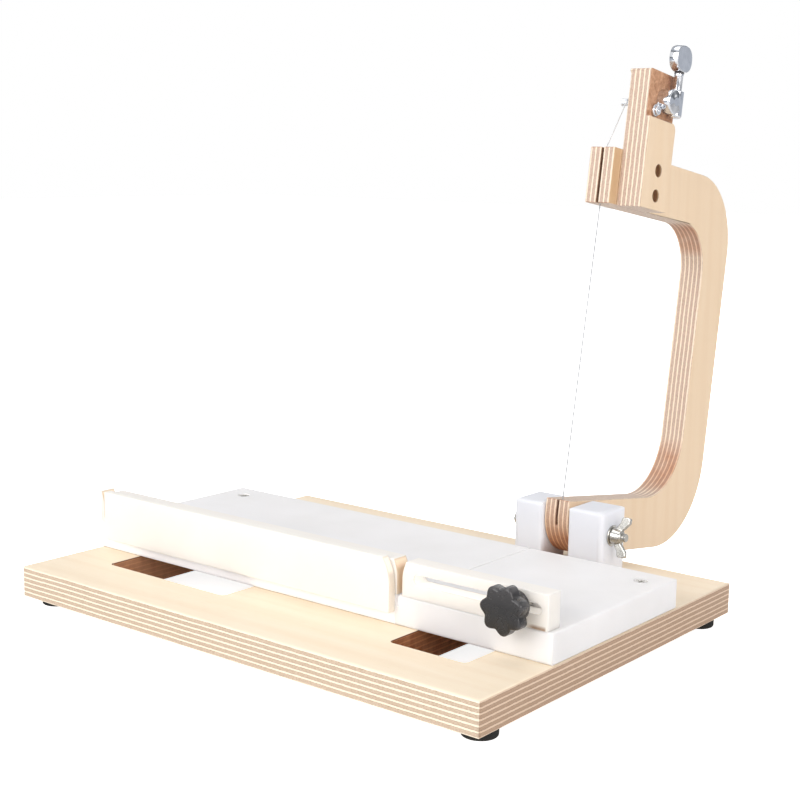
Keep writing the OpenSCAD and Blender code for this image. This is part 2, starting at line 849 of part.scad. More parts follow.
module tuner_housing() {
    color(steel_c) parked() difference() {
        union() {
            translate([tuner_face, 0, 0]) on_post() rotate([0, 90, 0]) rotate_extrude($fn = round_fn) case_profile();
            on_worm() translate([0, 0, post_v - barrel_l / 2]) rotate_extrude($fn = round_fn) barrel_profile();
            on_ear() rod_x(ear_d, 0, ear_t, small_fn);
            translate([tuner_face, 0, 0]) on_post() rotate([ear_angle, 0, 0])
                translate([0, 0, -ear_neck_w / 2]) cube([ear_t, ear_reach, ear_neck_w]);
        }
        on_ear() rod_x(ear_screw_d, -over, ear_t + 2 * over, small_fn);
        on_post() rod_x(post_d + 2 * run_gap, tuner_face - over, post_in_case + slide_gap + over, small_fn);
        on_worm() translate([0, 0, post_v + barrel_l / 2 - shaft_in_barrel - slide_gap])
            cylinder(d = shaft_d + 2 * run_gap, h = shaft_in_barrel + slide_gap + over, $fn = small_fn);
    }
}

module tuner_ear_screw() {
    color(steel_c) parked() on_ear() translate([ear_t, 0, 0]) rotate([0, 90, 0])
        pan_screw(ear_screw_d, ear_screw_head_d, ear_screw_head_h, ear_screw_l);
}

module tuner_bushing() {
    color(steel_c) parked() on_post() difference() {
        union() {
            rod_x(bush_d, tblock_x, bush_l, small_fn);
            rod_x(bush_flange_d, tblock_x - bush_flange_t, bush_flange_t, round_fn);
        }
        rod_x(post_d + 2 * run_gap, tblock_x - bush_flange_t - over, bush_l + bush_flange_t + 2 * over, small_fn);
    }
}

// half section of the post, from its tip
module post_profile() {
    r = post_d / 2;
    waist = post_waist_d / 2;
    waist_l = post_reach - bush_flange_t - post_tip - over;
    polygon([
        [0, 0],
        [r - post_chamfer, 0],
        [r, post_chamfer],
        [r, post_tip - post_chamfer],
        [waist, post_tip],
        [waist, post_tip + waist_l],
        [r, post_tip + waist_l + post_chamfer],
        [r, post_reach + arm_t - rebate + post_in_case],
        [0, post_reach + arm_t - rebate + post_in_case]
    ]);
}

module tuner_post() {
    color(steel_c) parked() on_post() translate([tblock_x - post_reach, 0, 0]) difference() {
        rotate([0, 90, 0]) rotate_extrude($fn = small_fn) post_profile();
        translate([post_reach - bush_flange_t - post_tip - 2 * over, -post_d, 0]) rotate([-90, 0, 0])
            cylinder(d = post_hole_d, h = 2 * post_d, $fn = small_fn);
    }
}

module tuner_shaft() {
    foot = post_v + barrel_l / 2 - shaft_in_barrel;
    color(steel_c) parked() on_worm() difference() {
        union() {
            translate([0, 0, foot]) cylinder(d = shaft_d, h = shaft_top - foot, $fn = small_fn);
            translate([0, 0, shaft_top - collar_t]) cylinder(d = collar_d, h = collar_t, $fn = small_fn);
            translate([0, 0, shaft_top]) cylinder(d = spigot_d, h = bwasher_t + spigot_l, $fn = small_fn);
        }
        translate([0, 0, button_foot + spigot_l - bscrew_l]) cylinder(d = bscrew_d, h = bscrew_l + over, $fn = small_fn);
    }
}

module button_washer() {
    color(black_c) parked() on_worm() translate([0, 0, shaft_top]) difference() {
        cylinder(d = bwasher_d, h = bwasher_t, $fn = small_fn);
        translate([0, 0, -over]) cylinder(d = spigot_d, h = bwasher_t + 2 * over, $fn = small_fn);
    }
}

// disc with a rounded rim, standing on edge, its faces toward x
module button_disc(d) {
    rotate([0, 90, 0]) rotate_extrude($fn = round_fn) difference() {
        translate([0, -button_t / 2]) square([d / 2, button_t]);
        translate([d / 2, button_t / 2]) rotate(180) corner_waste(button_round);
        translate([d / 2, -button_t / 2]) mirror([1, 0]) corner_waste(button_round);
    }
}

// oval button where two discs overlap
module tuner_button() {
    reach = (button_w * button_w / 4) / (button_h / 2);
    disc_r = (reach + button_h / 2) / 2;
    shift = disc_r - button_h / 2;
    color(steel_c) parked() on_worm() difference() {
        translate([0, 0, button_foot + button_h / 2]) intersection() {
            translate([0, 0, shift]) button_disc(2 * disc_r);
            translate([0, 0, -shift]) button_disc(2 * disc_r);
        }
        translate([0, 0, button_foot - over]) cylinder(d = spigot_d, h = spigot_l + over, $fn = small_fn);
        translate([0, 0, button_foot + spigot_l]) cylinder(d = bscrew_head_d, h = button_h, $fn = small_fn);
    }
}

module button_screw() {
    color(steel_c) parked() on_worm() translate([0, 0, button_foot + spigot_l])
        pan_screw(bscrew_d, bscrew_head_d, bscrew_head_h, bscrew_l);
}

// wire

// the wire climbs from the pin, through both kerfs, and winds on the post
wire_r = wire_d / 2;
coil_r = post_d / 2 + wire_r + run_gap;
kerf_u = kerf_floor - wire_r - run_gap;
heel_u = pin_u - pin_d / 2 - wire_r - run_gap;
reach_u = post_u - kerf_u;
reach_v = post_v - arm_top;
reach_l = sqrt(reach_u * reach_u + reach_v * reach_v);
meet = atan2(reach_v, reach_u) + asin(coil_r / reach_l) + 90;
steps = 24;
wire_sides = 6;
coil_steps = wire_turns * steps;
wire_path = concat(
    [[wire_x, heel_u, pin_v - pin_d],
     [wire_x, heel_u, pin_v],
     [wire_x, heel_u, limb_half],
     [wire_x, kerf_u, throat_top],
     [wire_x, kerf_u, arm_top]],
    [for (i = [0 : coil_steps])
        [wire_x + wire_pitch * i / steps,
         post_u + coil_r * cos(meet - i * 360 / steps),
         post_v + coil_r * sin(meet - i * 360 / steps)]]
);
wire_n = len(wire_path);

function unit(p) = p / norm(p);
function heading(i) = unit(wire_path[min(i + 1, wire_n - 1)] - wire_path[max(i - 1, 0)]);
function wire_ring(i) =
    let (ahead = heading(i), side = unit(cross(ahead, [1, 0, 0])), lift = cross(side, ahead))
    [for (k = [0 : wire_sides - 1])
        wire_path[i] + wire_r * (cos(k * 360 / wire_sides) * side + sin(k * 360 / wire_sides) * lift)];

// least gap between stretches of the wire that lie at least half a turn apart
wire_gap = min([for (i = [0 : wire_n - 1]) for (j = [i + steps / 2 : 1 : wire_n - 1])
    norm(wire_path[i] - wire_path[j])]) - wire_d;
echo(wire_gap = wire_gap);

module cutting_wire() {
    points = [for (i = [0 : wire_n - 1]) each wire_ring(i)];
    sides = [for (i = [0 : wire_n - 2]) for (k = [0 : wire_sides - 1])
        let (a = i * wire_sides + k, b = i * wire_sides + (k + 1) % wire_sides)
        each [[a, a + wire_sides, b + wire_sides], [a, b + wire_sides, b]]];
    last = (wire_n - 1) * wire_sides;
    caps = [for (k = [1 : wire_sides - 2])
        each [[0, k, k + 1], [last, last + k + 1, last + k]]];
    color(steel_c) parked() polyhedron(points, concat(sides, caps));
}

base_board();
rubber_feet();
foot_screws();
bed();
bed_screws();
fence_left();
fence_right();
front_guide();
knob();
knob_stud();
stop_block();
pivot_block_left();
pivot_block_right();
pivot_block_screws();
pivot_bolt();
pivot_washers();
wing_nut();
cutting_arm();
tuner_block();
tuner_block_screws();
tuner_housing();
tuner_ear_screw();
tuner_bushing();
tuner_post();
tuner_shaft();
button_washer();
tuner_button();
button_screw();
wire_anchor_pin();
cutting_wire();
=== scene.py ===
import json
from math import asin, atan2, copysign, cos, pi, radians, sin, sqrt, tau

import bmesh
import bpy
from mathutils import Matrix, Vector


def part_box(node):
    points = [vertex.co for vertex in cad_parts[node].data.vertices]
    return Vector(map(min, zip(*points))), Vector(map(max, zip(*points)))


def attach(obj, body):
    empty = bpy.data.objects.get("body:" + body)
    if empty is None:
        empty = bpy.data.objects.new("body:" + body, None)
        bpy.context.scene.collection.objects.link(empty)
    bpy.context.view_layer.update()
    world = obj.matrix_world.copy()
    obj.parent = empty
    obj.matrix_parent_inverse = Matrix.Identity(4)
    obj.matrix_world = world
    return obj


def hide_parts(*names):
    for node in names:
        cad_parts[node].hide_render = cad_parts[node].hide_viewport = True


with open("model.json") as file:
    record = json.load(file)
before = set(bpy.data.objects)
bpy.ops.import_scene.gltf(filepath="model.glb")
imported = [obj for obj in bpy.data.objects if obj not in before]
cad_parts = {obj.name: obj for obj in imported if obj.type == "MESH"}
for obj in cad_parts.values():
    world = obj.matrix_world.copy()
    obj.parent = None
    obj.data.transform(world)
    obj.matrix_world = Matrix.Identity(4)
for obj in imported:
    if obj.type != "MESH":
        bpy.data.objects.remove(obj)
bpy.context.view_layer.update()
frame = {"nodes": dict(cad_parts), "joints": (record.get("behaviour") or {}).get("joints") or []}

mm = 0.001
joints = {joint["name"]: joint for joint in frame["joints"]}
pivot = Vector(joints["arm_swing"]["pos_m"])
# the arm is parked leaning back, so its own up and back directions are tilted
armUp = Vector(joints["button_turn"]["axis"]).normalized()
armBack = Vector((0, armUp.z, -armUp.y))
armTurn = Matrix(((1, 0, 0), armBack, armUp)).transposed()
toRight = Vector((1, 0, 0))
facingX = Matrix.Rotation(radians(90), 3, "Y")
facingFront = Matrix.Rotation(radians(90), 3, "X")


def armPoint(x, back, up):
    return onAxis(x, pivot) + armBack * back + armUp * up


def onAxis(x, axisPlace):
    return Vector((x, axisPlace.y, axisPlace.z))


def upAlong(point):
    return (point - pivot).dot(armUp)


def backAlong(point):
    return (point - pivot).dot(armBack)


def middle(node):
    low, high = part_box(node)
    return (low + high) / 2


# colours and shader nodes

def paint(code):
    channels = [int(code[i:i + 2], 16) / 255 for i in (0, 2, 4)]
    return tuple(c / 12.92 if c <= 0.04045 else ((c + 0.055) / 1.055) ** 2.4 for c in channels) + (1,)


def isSocket(value):
    return isinstance(value, bpy.types.NodeSocket)


def source(tree, kind):
    # a node that needs no wires
    return tree.nodes.new("ShaderNode" + kind).outputs


def wired(kind, wires, tree=None, **settings):
    # a node's inputs are sockets or constants, and its first socket tells which tree it is in
    tree = tree or next(value.id_data for value in wires.values() if isSocket(value))
    node = tree.nodes.new("ShaderNode" + kind)
    for name, value in settings.items():
        setattr(node, name, value)
    for name, value in wires.items():
        if isSocket(value):
            tree.links.new(value, node.inputs[name])
        else:
            node.inputs[name].default_value = value
    return node


def newMaterial(name):
    material = bpy.data.materials.new(name)
    material.use_nodes = True
    tree = material.node_tree
    return material, tree, tree.nodes["Principled BSDF"]


def placeOf(tree):
    return source(tree, "TexCoord")["Object"]


def axesOf(vector):
    return wired("SeparateXYZ", {0: vector}).outputs


def facingOf(tree):
    # how squarely the surface faces along x, y and z
    return axesOf(source(tree, "NewGeometry")["Normal"])


def calc(operation, first, second=0.0, third=0.0):
    wires = {0: first, 1: second, 2: third}
    return wired("Math", wires, operation=operation).outputs[0]


def product(value, *factors):
    for factor in factors:
        value = calc("MULTIPLY", value, factor)
    return value


def sizeOf(value):
    return calc("ABSOLUTE", value)


def gapTo(value, centre):
    return sizeOf(calc("SUBTRACT", value, centre))


def spread(value, low, high, newLow=0.0, newHigh=1.0):
    wires = {"Value": value, "From Min": low, "From Max": high, "To Min": newLow, "To Max": newHigh}
    return wired("MapRange", wires, clamp=True).outputs[0]


def fading(value, low, high, most=1.0):
    return spread(value, low, high, most, 0.0)


def evened(noise, newLow=0.0, newHigh=1.0):
    # noise keeps mostly between 0.3 and 0.7, and that band is stretched over the wanted values
    return spread(noise, 0.3, 0.7, newLow, newHigh)


def blendOf(share, first, second, how="MIX"):
    wires = {0: share, 6: first, 7: second}
    return wired("Mix", wires, data_type="RGBA", blend_type=how).outputs[2]


def tinted(share, colour, tone):
    return blendOf(share, colour, paint(tone))


def darkened(share, colour, tone):
    return blendOf(share, colour, paint(tone), "MULTIPLY")


def vectorOf(operation, first, second, output=0):
    wires = {0: first, 1: second}
    return wired("VectorMath", wires, operation=operation).outputs[output]


def noiseOf(place, perMetre, detail=3.0, roughness=0.5, distortion=0.0):
    scale = perMetre if isinstance(perMetre, tuple) else (perMetre,) * 3
    wires = {"Vector": vectorOf("MULTIPLY", place, scale), "Scale": 1.0, "Detail": detail,
             "Roughness": roughness, "Distortion": distortion}
    return wired("TexNoise", wires).outputs["Fac"]


def uneven(pair, axis):
    # the pair's second value on the given axis, its first on the other two
    return tuple(pair[1] if i == axis else pair[0] for i in range(3))


def link(start, end):
    start.id_data.links.new(start, end)


def fixed(shader, constants):
    for name, value in constants.items():
        shader.inputs[name].default_value = value


def coated(shader, colour, roughness, metal=0.0, specular=0.5):
    link(colour, shader.inputs["Base Color"])
    link(roughness, shader.inputs["Roughness"])
    fixed(shader, {"Metallic": metal, "Specular IOR Level": specular})


def bumpOf(shader, height, depth, strength):
    wires = {"Height": height, "Distance": depth, "Strength": strength}
    link(wired("Bump", wires).outputs[0], shader.inputs["Normal"])


def armPlace(place, direction):
    # how far a spot lies from the pivot along one of the arm's own directions
    offset = vectorOf("SUBTRACT", place, tuple(pivot))
    return vectorOf("DOT_PRODUCT", offset, tuple(direction), "Value")


# wood

plywoodLook = {
    "base": {"light": "F6E9D6", "dark": "DCC9B5", "darker": "BFA78F",
             "face": "F7E9D3", "figure": "F0DCBE"},
    "arm": {"light": "EADBC8", "dark": "D9C3B3", "darker": "B79B8A",
            "face": "F6DFC2", "figure": "EFD2AE"},
    "glue": "7C5844", "rings": "D9B184", "fleck": "CFA67A",
    # details per metre
    "waver": 45, "fray": 620, "pores": 1500, "polish": 240,
    # on two axes, and then across the plies for the streaks and along the grain for the others
    "streaks": (260, 2600), "figures": (38, 4.5), "flecks": (1100, 110),
    # where the pale ply ends, and how wide the glue line is, as shares of a ply
    "border": 0.44, "glueWide": 0.12,
}


def plywood(name, node, across, grain, plies, tones, charAndShade):
    # pale birch veneer on the broad faces, and cream and pinkish brown plies on every edge
    look, tone = plywoodLook, plywoodLook[tones]
    border = look["border"]
    material, tree, shader = newMaterial(name)
    low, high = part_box(node)
    place, facing = placeOf(tree), facingOf(tree)
    # the plies wander a little, as pressed veneers do, and the saw frays their borders
    waver = spread(noiseOf(place, look["waver"], 2.0), 0.2, 0.8, -0.12, 0.12)
    frayed = noiseOf(place, look["fray"], 3.0, 0.7)
    waver = calc("ADD", waver, evened(frayed, -0.09, 0.09))
    depth = calc("SUBTRACT", axesOf(place)[across], low[across])
    depth = product(depth, plies / (high[across] - low[across]))
    depth = calc("ADD", depth, waver)
    # 0 in the middle of a pale ply and 1 in the middle of the brown ply beside it
    half = calc("FRACT", calc("MULTIPLY_ADD", depth, 0.5, 0.25))
    beside = product(gapTo(half, 0.5), 2.0)
    wires = {"W": calc("FLOOR", depth)}
    ownTone = wired("TexWhiteNoise", wires, noise_dimensions="1D").outputs["Value"]
    # long-grain plies show streaks along the edge, end-grain plies show pores
    streaks = noiseOf(place, uneven(look["streaks"], across), 4.0, 0.6)
    pores = noiseOf(place, look["pores"], 3.0, 0.75)
    lightTone = tinted(spread(streaks, 0.35, 0.7, 0.0, 0.45), paint(tone["light"]), tone["figure"])
    darkTone = tinted(spread(pores, 0.38, 0.66), paint(tone["darker"]), tone["dark"])
    darkTone = tinted(spread(ownTone, 0, 1, 0.0, 0.4), darkTone, tone["darker"])
    # the end-grain plies soak up dirt and are darkest in their middle
    darkTone = tinted(spread(beside, 0.6, 1.0, 0.0, 0.45), darkTone, tone["darker"])
    edge = blendOf(spread(beside, 0.28, border), lightTone, darkTone)
    # a dark glue line, broken where the saw has polished over it
    polish = noiseOf(place, look["polish"], 3.0, 0.7)
    onGlue = product(fading(gapTo(beside, border), 0.0, look["glueWide"]),
                     spread(polish, 0.35, 0.65, 0.25, 0.95))
    edge = tinted(onGlue, edge, look["glue"])
    # the face veneer has a soft cathedral figure that runs with the grain, and short dark flecks
    slow = uneven(look["figures"], grain)
    figure = noiseOf(place, slow, 3.0, 0.55, 1.4)
    slowed = vectorOf("MULTIPLY", place, slow)
    wires = {"Vector": slowed, "Scale": 0.55, "Distortion": 7.0, "Detail": 2.0}
    rings = wired("TexWave", wires, wave_type="RINGS").outputs["Fac"]
    flecks = noiseOf(place, uneven(look["flecks"], grain), 2.0, 0.6)
    face = tinted(spread(figure, 0.25, 0.8, 0.1, 0.6), paint(tone["face"]), tone["figure"])
    face = tinted(spread(rings, 0.55, 0.95, 0.0, 0.07), face, look["rings"])
    face = tinted(spread(flecks, 0.60, 0.75, 0.0, 0.10), face, look["fleck"])
    outer = calc("GREATER_THAN", gapTo(depth, plies / 2), plies / 2 - 0.75)
    onFace = product(spread(sizeOf(facing[across]), 0.7, 0.9), outer)
    colour = charAndShade(place, facing, blendOf(onFace, edge, face))
    coated(shader, colour, spread(streaks, 0.3, 0.8, 0.42, 0.6), specular=0.35)
    relief = calc("ADD", product(streaks, 0.6), product(flecks, 0.4))
    bumpOf(shader, relief, 0.05 * mm, 0.45)
    return material


slotLook = {
    "char": "C68B60", "deep": "803F20", "longSlot": "D7A582", "rimLine": "6B4029",
    "sideShade": "E3D4CB", "margin": 6 * mm, "smoke": (220, 220, 60),
}


def charAndShadeInSlots(place, facing, colour):
    # the two slots were burnt through by a laser, so their walls are dark brown
    look = slotLook
    low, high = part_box("base_board")
    x, y, z = axesOf(place)
    inside = calc("SUBTRACT", 1.0, spread(sizeOf(facing[2]), 0.6, 0.97))
    for value, least, most in ((x, low.x, high.x), (y, low.y, high.y)):
        inside = product(inside, calc("GREATER_THAN", value, least + look["margin"]),
                         calc("LESS_THAN", value, most - look["margin"]))
    smoke = noiseOf(place, look["smoke"], 3.0, 0.6)
    burnt = tinted(spread(smoke, 0.35, 0.65), paint(look["char"]), look["deep"])
    # the plies still show through the char
    burnt = blendOf(0.6, burnt, darkened(1.0, colour, look["char"]))
    burnt = tinted(fading(x, -60 * mm, 10 * mm, 0.38), burnt, look["longSlot"])
    burnt = tinted(spread(z, high.z - 1.0 * mm, high.z - 0.3 * mm), burnt, look["rimLine"])
    # painted shade darkens every face that looks along x, at the base's ends and in the slots
    sideShade = product(spread(sizeOf(facing[0]), 0.6, 0.9), 0.85)
    colour = darkened(sideShade, colour, look["sideShade"])
    return blendOf(product(inside, 0.94), colour, burnt)


def scorchAndShadeOnArm(place, facing, colour):
    # the saw lingered and browned the plies where the throat curves into the limbs
    curving = spread(sizeOf(product(facing[1], facing[2])), 0.2, 0.42)
    smoke = noiseOf(place, 90, 3.0, 0.6)
    colour = darkened(product(curving, evened(smoke, 0.35, 0.8)), colour, "D9A98A")
    # browner toward the foot of the heel, with painted shade between the pivot blocks, and painted
    # shade on the strip of the tip in front of the tuner block
    up, back = armPlace(place, armUp), armPlace(place, armBack)
    heelShadeAndBrown = product(fading(up, -14 * mm, 20 * mm, 0.9), fading(back, 8 * mm, 22 * mm))
    colour = darkened(heelShadeAndBrown, colour, "DBAE84")
    stripShade = product(spread(facing[0], 0.6, 0.9), fading(back, 2 * mm, 4 * mm),
                    spread(up, 170 * mm, 180 * mm, 0.0, 0.85))
    return darkened(stripShade, colour, "D6C7B2")


rebateLook = {
    "pale": "E0AF8A", "brown": "A87350", "spot": "A87C66",
    "shaftShadePlace": armPoint(93.5 * mm, 27 * mm, 262 * mm), "hole": "CBAE8E",
    "holeReach": 4.4 * mm, "holesReach": 12 * mm, "deep": 1.2 * mm,
}


def charAndShadeInRebate(place, facing, colour):
    # routing the rebate laid a dark inner ply bare, torn and scorched; the counterbores are scorched
    # too and carry painted shade
    look = rebateLook
    low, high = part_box("tuner_block")
    x = axesOf(place)[0]
    sunk = product(calc("LESS_THAN", x, high.x - look["deep"]),
                   calc("GREATER_THAN", x, low.x + 2 * mm), spread(facing[0], 0.6, 0.9))
    tear = noiseOf(place, 210, 5.0, 0.7, 0.6)
    brown = tinted(spread(tear, 0.34, 0.66), paint(look["pale"]), look["brown"])
    # a painted shadow darkens a patch behind the tuner's shaft
    spot = vectorOf("DISTANCE", place, tuple(look["shaftShadePlace"]), "Value")
    brown = darkened(fading(spot, 2 * mm, 9 * mm, 0.9), brown, look["spot"])
    colour = blendOf(product(sunk, 0.94), colour, brown)
    # the counterbores are darkened, partly a scorched tone and partly painted shade in the recess
    holes = middle("tuner_block_screws")
    up, back = armPlace(place, armUp), armPlace(place, armBack)
    holeScorchAndShade = product(calc("LESS_THAN", gapTo(back, backAlong(holes)), look["holeReach"]),
                     calc("LESS_THAN", gapTo(up, upAlong(holes)), look["holesReach"]),
                     fading(x, high.x - 0.6 * mm, high.x - 0.2 * mm),
                     calc("GREATER_THAN", x, low.x + 1 * mm))
    return darkened(holeScorchAndShade, colour, look["hole"])


# white plastic

whiteLook = {
    "plain": ("F0EFF0", "E9E8E8"), "fence": ("F3EFE9", "EDE8E2"),
    # the pivot tone is this plastic made darker and bluer: painted shade on the blocks that stand
    # further back
    "plate": ("F4F1EA", "EFEBE4"), "pivot": ("E1E3E9", "DBDDE4"),
    "woodLight": "E4BE8A", "seamShadow": "B09884", "brownLight": "8A6048",
    "clouds": 22, "sawLines": (60, 900, 900),
    "milky": 0.5, "milkyTint": (1, 0.97, 0.94), "milkyDeep": 6 * mm,
    "glowInside": 0.3, "glowBehindPlate": 0.25,
    "glowOnPivot": {"pivot_block_left": 0.05, "pivot_block_right": 0.2},
}


def warmedWhite(node, spot, facing, colour, warmEndShade):
    look = whiteLook
    low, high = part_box(node)
    if warmEndShade:
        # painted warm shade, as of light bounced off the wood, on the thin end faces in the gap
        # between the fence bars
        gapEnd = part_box("fence_right")[0].x + 3 * mm
        gapShade = product(spread(sizeOf(facing[0]), 0.5, 0.8),
                        calc("LESS_THAN", spot[0], gapEnd), warmEndShade)
        colour = tinted(gapShade, colour, look["woodLight"])
    if node == "fence_right":
        # a painted shadow lies along the seam under the fence beside the knob
        knobX = middle("knob").x
        seam = product(fading(spot[2], low.z + 0.9 * mm, low.z + 2.4 * mm, 0.95),
                       spread(spot[0], knobX + 5 * mm, knobX + 9 * mm),
                       fading(spot[0], high.x - 2 * mm, high.x - 1 * mm))
        colour = darkened(seam, colour, look["seamShadow"])
    if node == "pivot_block_left":
        # brown light from the arm lies low on the side that faces it
        browned = product(spread(facing[0], 0.5, 0.8),
                          fading(spot[2], low.z + 2 * mm, low.z + 16 * mm, 0.75))
        colour = tinted(browned, colour, look["brownLight"])
    return colour


def paintedGlow(node, spot, facing):
    # a painted glow (emission) fills its slots and holes, standing in for light carried through the
    # milky plastic
    look = whiteLook
    if node in look["glowOnPivot"]:
        # and a painted glow lightens the sides of the pivot blocks that face right
        return spread(facing[0], 0.4, 1.0, 0.0, look["glowOnPivot"][node])
    carried = look["glowInside"]
    for value, least, most in zip(spot, *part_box(node)):
        carried = product(carried, spread(value, least + 0.6 * mm, least + 1.2 * mm),
                          fading(value, most - 1.2 * mm, most - 0.6 * mm))
    if node == "bed":
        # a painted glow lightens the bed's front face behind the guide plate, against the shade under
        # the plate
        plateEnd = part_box("front_guide")[1].x
        behindPlate = product(fading(facing[1], -0.9, -0.5, look["glowBehindPlate"]),
                              calc("LESS_THAN", spot[0], plateEnd))
        carried = calc("MAXIMUM", carried, behindPlate)
    return carried


def whitePlastic(name, node, tones, warmEndShade=0.0):
    # milky machined polyethylene: almost white, satin, with faint saw lines and handling marks
    look = whiteLook
    material, tree, shader = newMaterial(name)
    place, facing = placeOf(tree), facingOf(tree)
    spot = axesOf(place)
    pale, cloudy = look[tones]
    colour = tinted(evened(noiseOf(place, look["clouds"])), paint(pale), cloudy)
    colour = warmedWhite(node, spot, facing, colour, warmEndShade)
    lines = noiseOf(place, look["sawLines"], 2.0)
    coated(shader, colour, evened(lines, 0.36, 0.5), specular=0.4)
    fixed(shader, {"Subsurface Weight": look["milky"], "Subsurface Radius": look["milkyTint"],
                   "Subsurface Scale": look["milkyDeep"]})
    # the painted glow is emission in the plastic's own colour
    link(paintedGlow(node, spot, facing), shader.inputs["Emission Strength"])
    link(colour, shader.inputs["Emission Color"])
    bumpOf(shader, lines, 0.02 * mm, 0.6)
    return material


# metal, black plastic and rubber

def chromePlate(name):
    # polished chrome with fine wipe marks that soften the reflections
    material, tree, shader = newMaterial(name)
    wipes = noiseOf(placeOf(tree), (900, 250, 250), 3.0, 0.6)
    colour = tinted(evened(wipes), paint("E6E8EC"), "D3D6DB")
    coated(shader, colour, evened(wipes, 0.05, 0.13), 1.0)
    bumpOf(shader, wipes, 0.01 * mm, 0.4)
    return material


def zincPlate(name, tone, toothPerMetre, metal):
    # bright zinc on cast or rolled steel: silvery, a little cloudy, with a fine tooth
    material, tree, shader = newMaterial(name)
    place = placeOf(tree)
    cloud = noiseOf(place, 180, 3.0, 0.6)
    colour = tinted(evened(cloud), paint(tone), "B4B2AD")
    # painted shade darkens the inner corners
    corners = source(tree, "NewGeometry")["Pointiness"]
    colour = tinted(fading(corners, 0.45, 0.498, 0.9), colour, "3A3835")
    coated(shader, colour, evened(cloud, 0.14, 0.28), metal)
    bumpOf(shader, noiseOf(place, toothPerMetre, 2.0, 0.6), 0.03 * mm, 0.6)
    return material


def blackPlastic(name):
    # moulded black plastic with a fine spark-eroded texture and a dull sheen
    material, tree, shader = newMaterial(name)
    place = placeOf(tree)
    erosion = noiseOf(place, 3200, 2.0, 0.6)
    dust = noiseOf(place, 160, 3.0, 0.6)
    colour = tinted(spread(dust, 0.4, 0.75, 0.0, 0.6), paint("201F20"), "2C2B2C")
    # painted sheen greys the top, and a painted highlight runs along the edges of the lobes
    knobZ = middle("knob").z
    topSheen = spread(axesOf(place)[2], knobZ + 2 * mm, knobZ + 12 * mm, 0.0, 0.7)
    colour = tinted(topSheen, colour, "413F41")
    edges = source(tree, "NewGeometry")["Pointiness"]
    colour = tinted(spread(edges, 0.51, 0.56, 0.0, 0.6), colour, "6E6C6E")
    coated(shader, colour, evened(dust, 0.2, 0.3))
    bumpOf(shader, erosion, 0.03 * mm, 0.5)
    return material


def blackRubber(name):
    # matt rubber, dusty grey where it meets the bench
    material, tree, shader = newMaterial(name)
    place = placeOf(tree)
    pitting = noiseOf(place, 1800, 3.0, 0.6)
    dusty = product(fading(axesOf(place)[2], 0.0, 1.6 * mm), spread(pitting, 0.4, 0.7))
    colour = tinted(dusty, paint("1A1A1A"), "4A4744")
    coated(shader, colour, evened(pitting, 0.7, 0.9))
    bumpOf(shader, pitting, 0.05 * mm, 0.7)
    return material


def wireSteel(name):
    # drawn music wire: grey with long bright streaks, with a painted sheen between the tip and the
    # post
    material, tree, shader = newMaterial(name)
    place = placeOf(tree)
    drawn = noiseOf(place, (4000, 4000, 90), 2.0, 0.6)
    colour = tinted(evened(drawn), paint("B2B3B6"), "85878B")
    upperSheen = spread(armPlace(place, armUp), 212 * mm, 226 * mm, 0.0, 0.75)
    colour = tinted(upperSheen, colour, "E9EAEC")
    coated(shader, colour, evened(drawn, 0.4, 0.55), 0.7)
    return material


# each material with a slot name for its pieces; the script passes the slot names on to nothing
materials = {
    "chrome": ("chrome", chromePlate("chromePlate")),
    "zinc": ("zinc_steel", zincPlate("zincPlate", "C6C4BF", 1400, 1.0)),
    "screw": ("zinc_steel", zincPlate("zincScrews", "D9D7D3", 2200, 0.45)),
    "knob": ("black_plastic", blackPlastic("blackKnobPlastic")),
    "rubber": ("rubber", blackRubber("blackRubber")),
    "wire": ("wire_steel", wireSteel("drawnSteelWire")),
}
print("metal, black plastic and rubber:", len(materials))


# building pieces

def finished(piece, madeOf, body, node):
    slotName, material = materials[madeOf]
    piece.data.materials.append(material)
    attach(piece, body)
    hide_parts(node)


def placed(name, data):
    thing = bpy.data.objects.new(name, data)
    bpy.context.scene.collection.objects.link(thing)
    return thing


def pieceFrom(name, mesh, smoothAngle=None):
    data = bpy.data.meshes.new(name)
    mesh.normal_update()
    mesh.to_mesh(data)
    mesh.free()
    piece = placed(name, data)
    data.polygons.foreach_set("use_smooth", [True] * len(data.polygons))
    if smoothAngle is not None:
        data.set_sharp_from_angle(angle=radians(smoothAngle))
    return piece


def ringOf(mesh, count, pointAt):
    return [mesh.verts.new(pointAt(tau * i / count)) for i in range(count)]


def skin(mesh, rings, capped=True):
    # faces from each ring of points to the next; a ring of a single point is a tip
    sides = max(len(ring) for ring in rings)
    for below, above in zip(rings, rings[1:]):
        for i in range(sides):
            j = (i + 1) % sides
            corners = [below[i % len(below)], below[j % len(below)],
                       above[j % len(above)], above[i % len(above)]]
            corners = list(dict.fromkeys(corners))
            if len(corners) > 2:
                mesh.faces.new(corners)
    if capped:
        for ring in (rings[0], rings[-1]):
            if len(ring) > 2:
                mesh.faces.new(ring)
    bmesh.ops.recalc_face_normals(mesh, faces=mesh.faces)


def stood(mesh, place, turn):
    bmesh.ops.transform(mesh, matrix=Matrix.Translation(place) @ turn.to_4x4(), verts=mesh.verts)


def turned(name, profile, sides, place, turn):
    # a lathe form: radius and height pairs, turned about z and then stood where it belongs
    mesh = bmesh.new()
    # a profile that closes on itself leaves its bore open
    closed = profile[0] == profile[-1]
    rings = [ringOf(mesh, sides if radius else 1,
                    lambda a: (radius * cos(a), radius * sin(a), height))
             for radius, height in (profile[:-1] if closed else profile)]
    skin(mesh, rings + rings[:1] if closed else rings, not closed)
    stood(mesh, place, turn)
    return pieceFrom(name, mesh, 40)


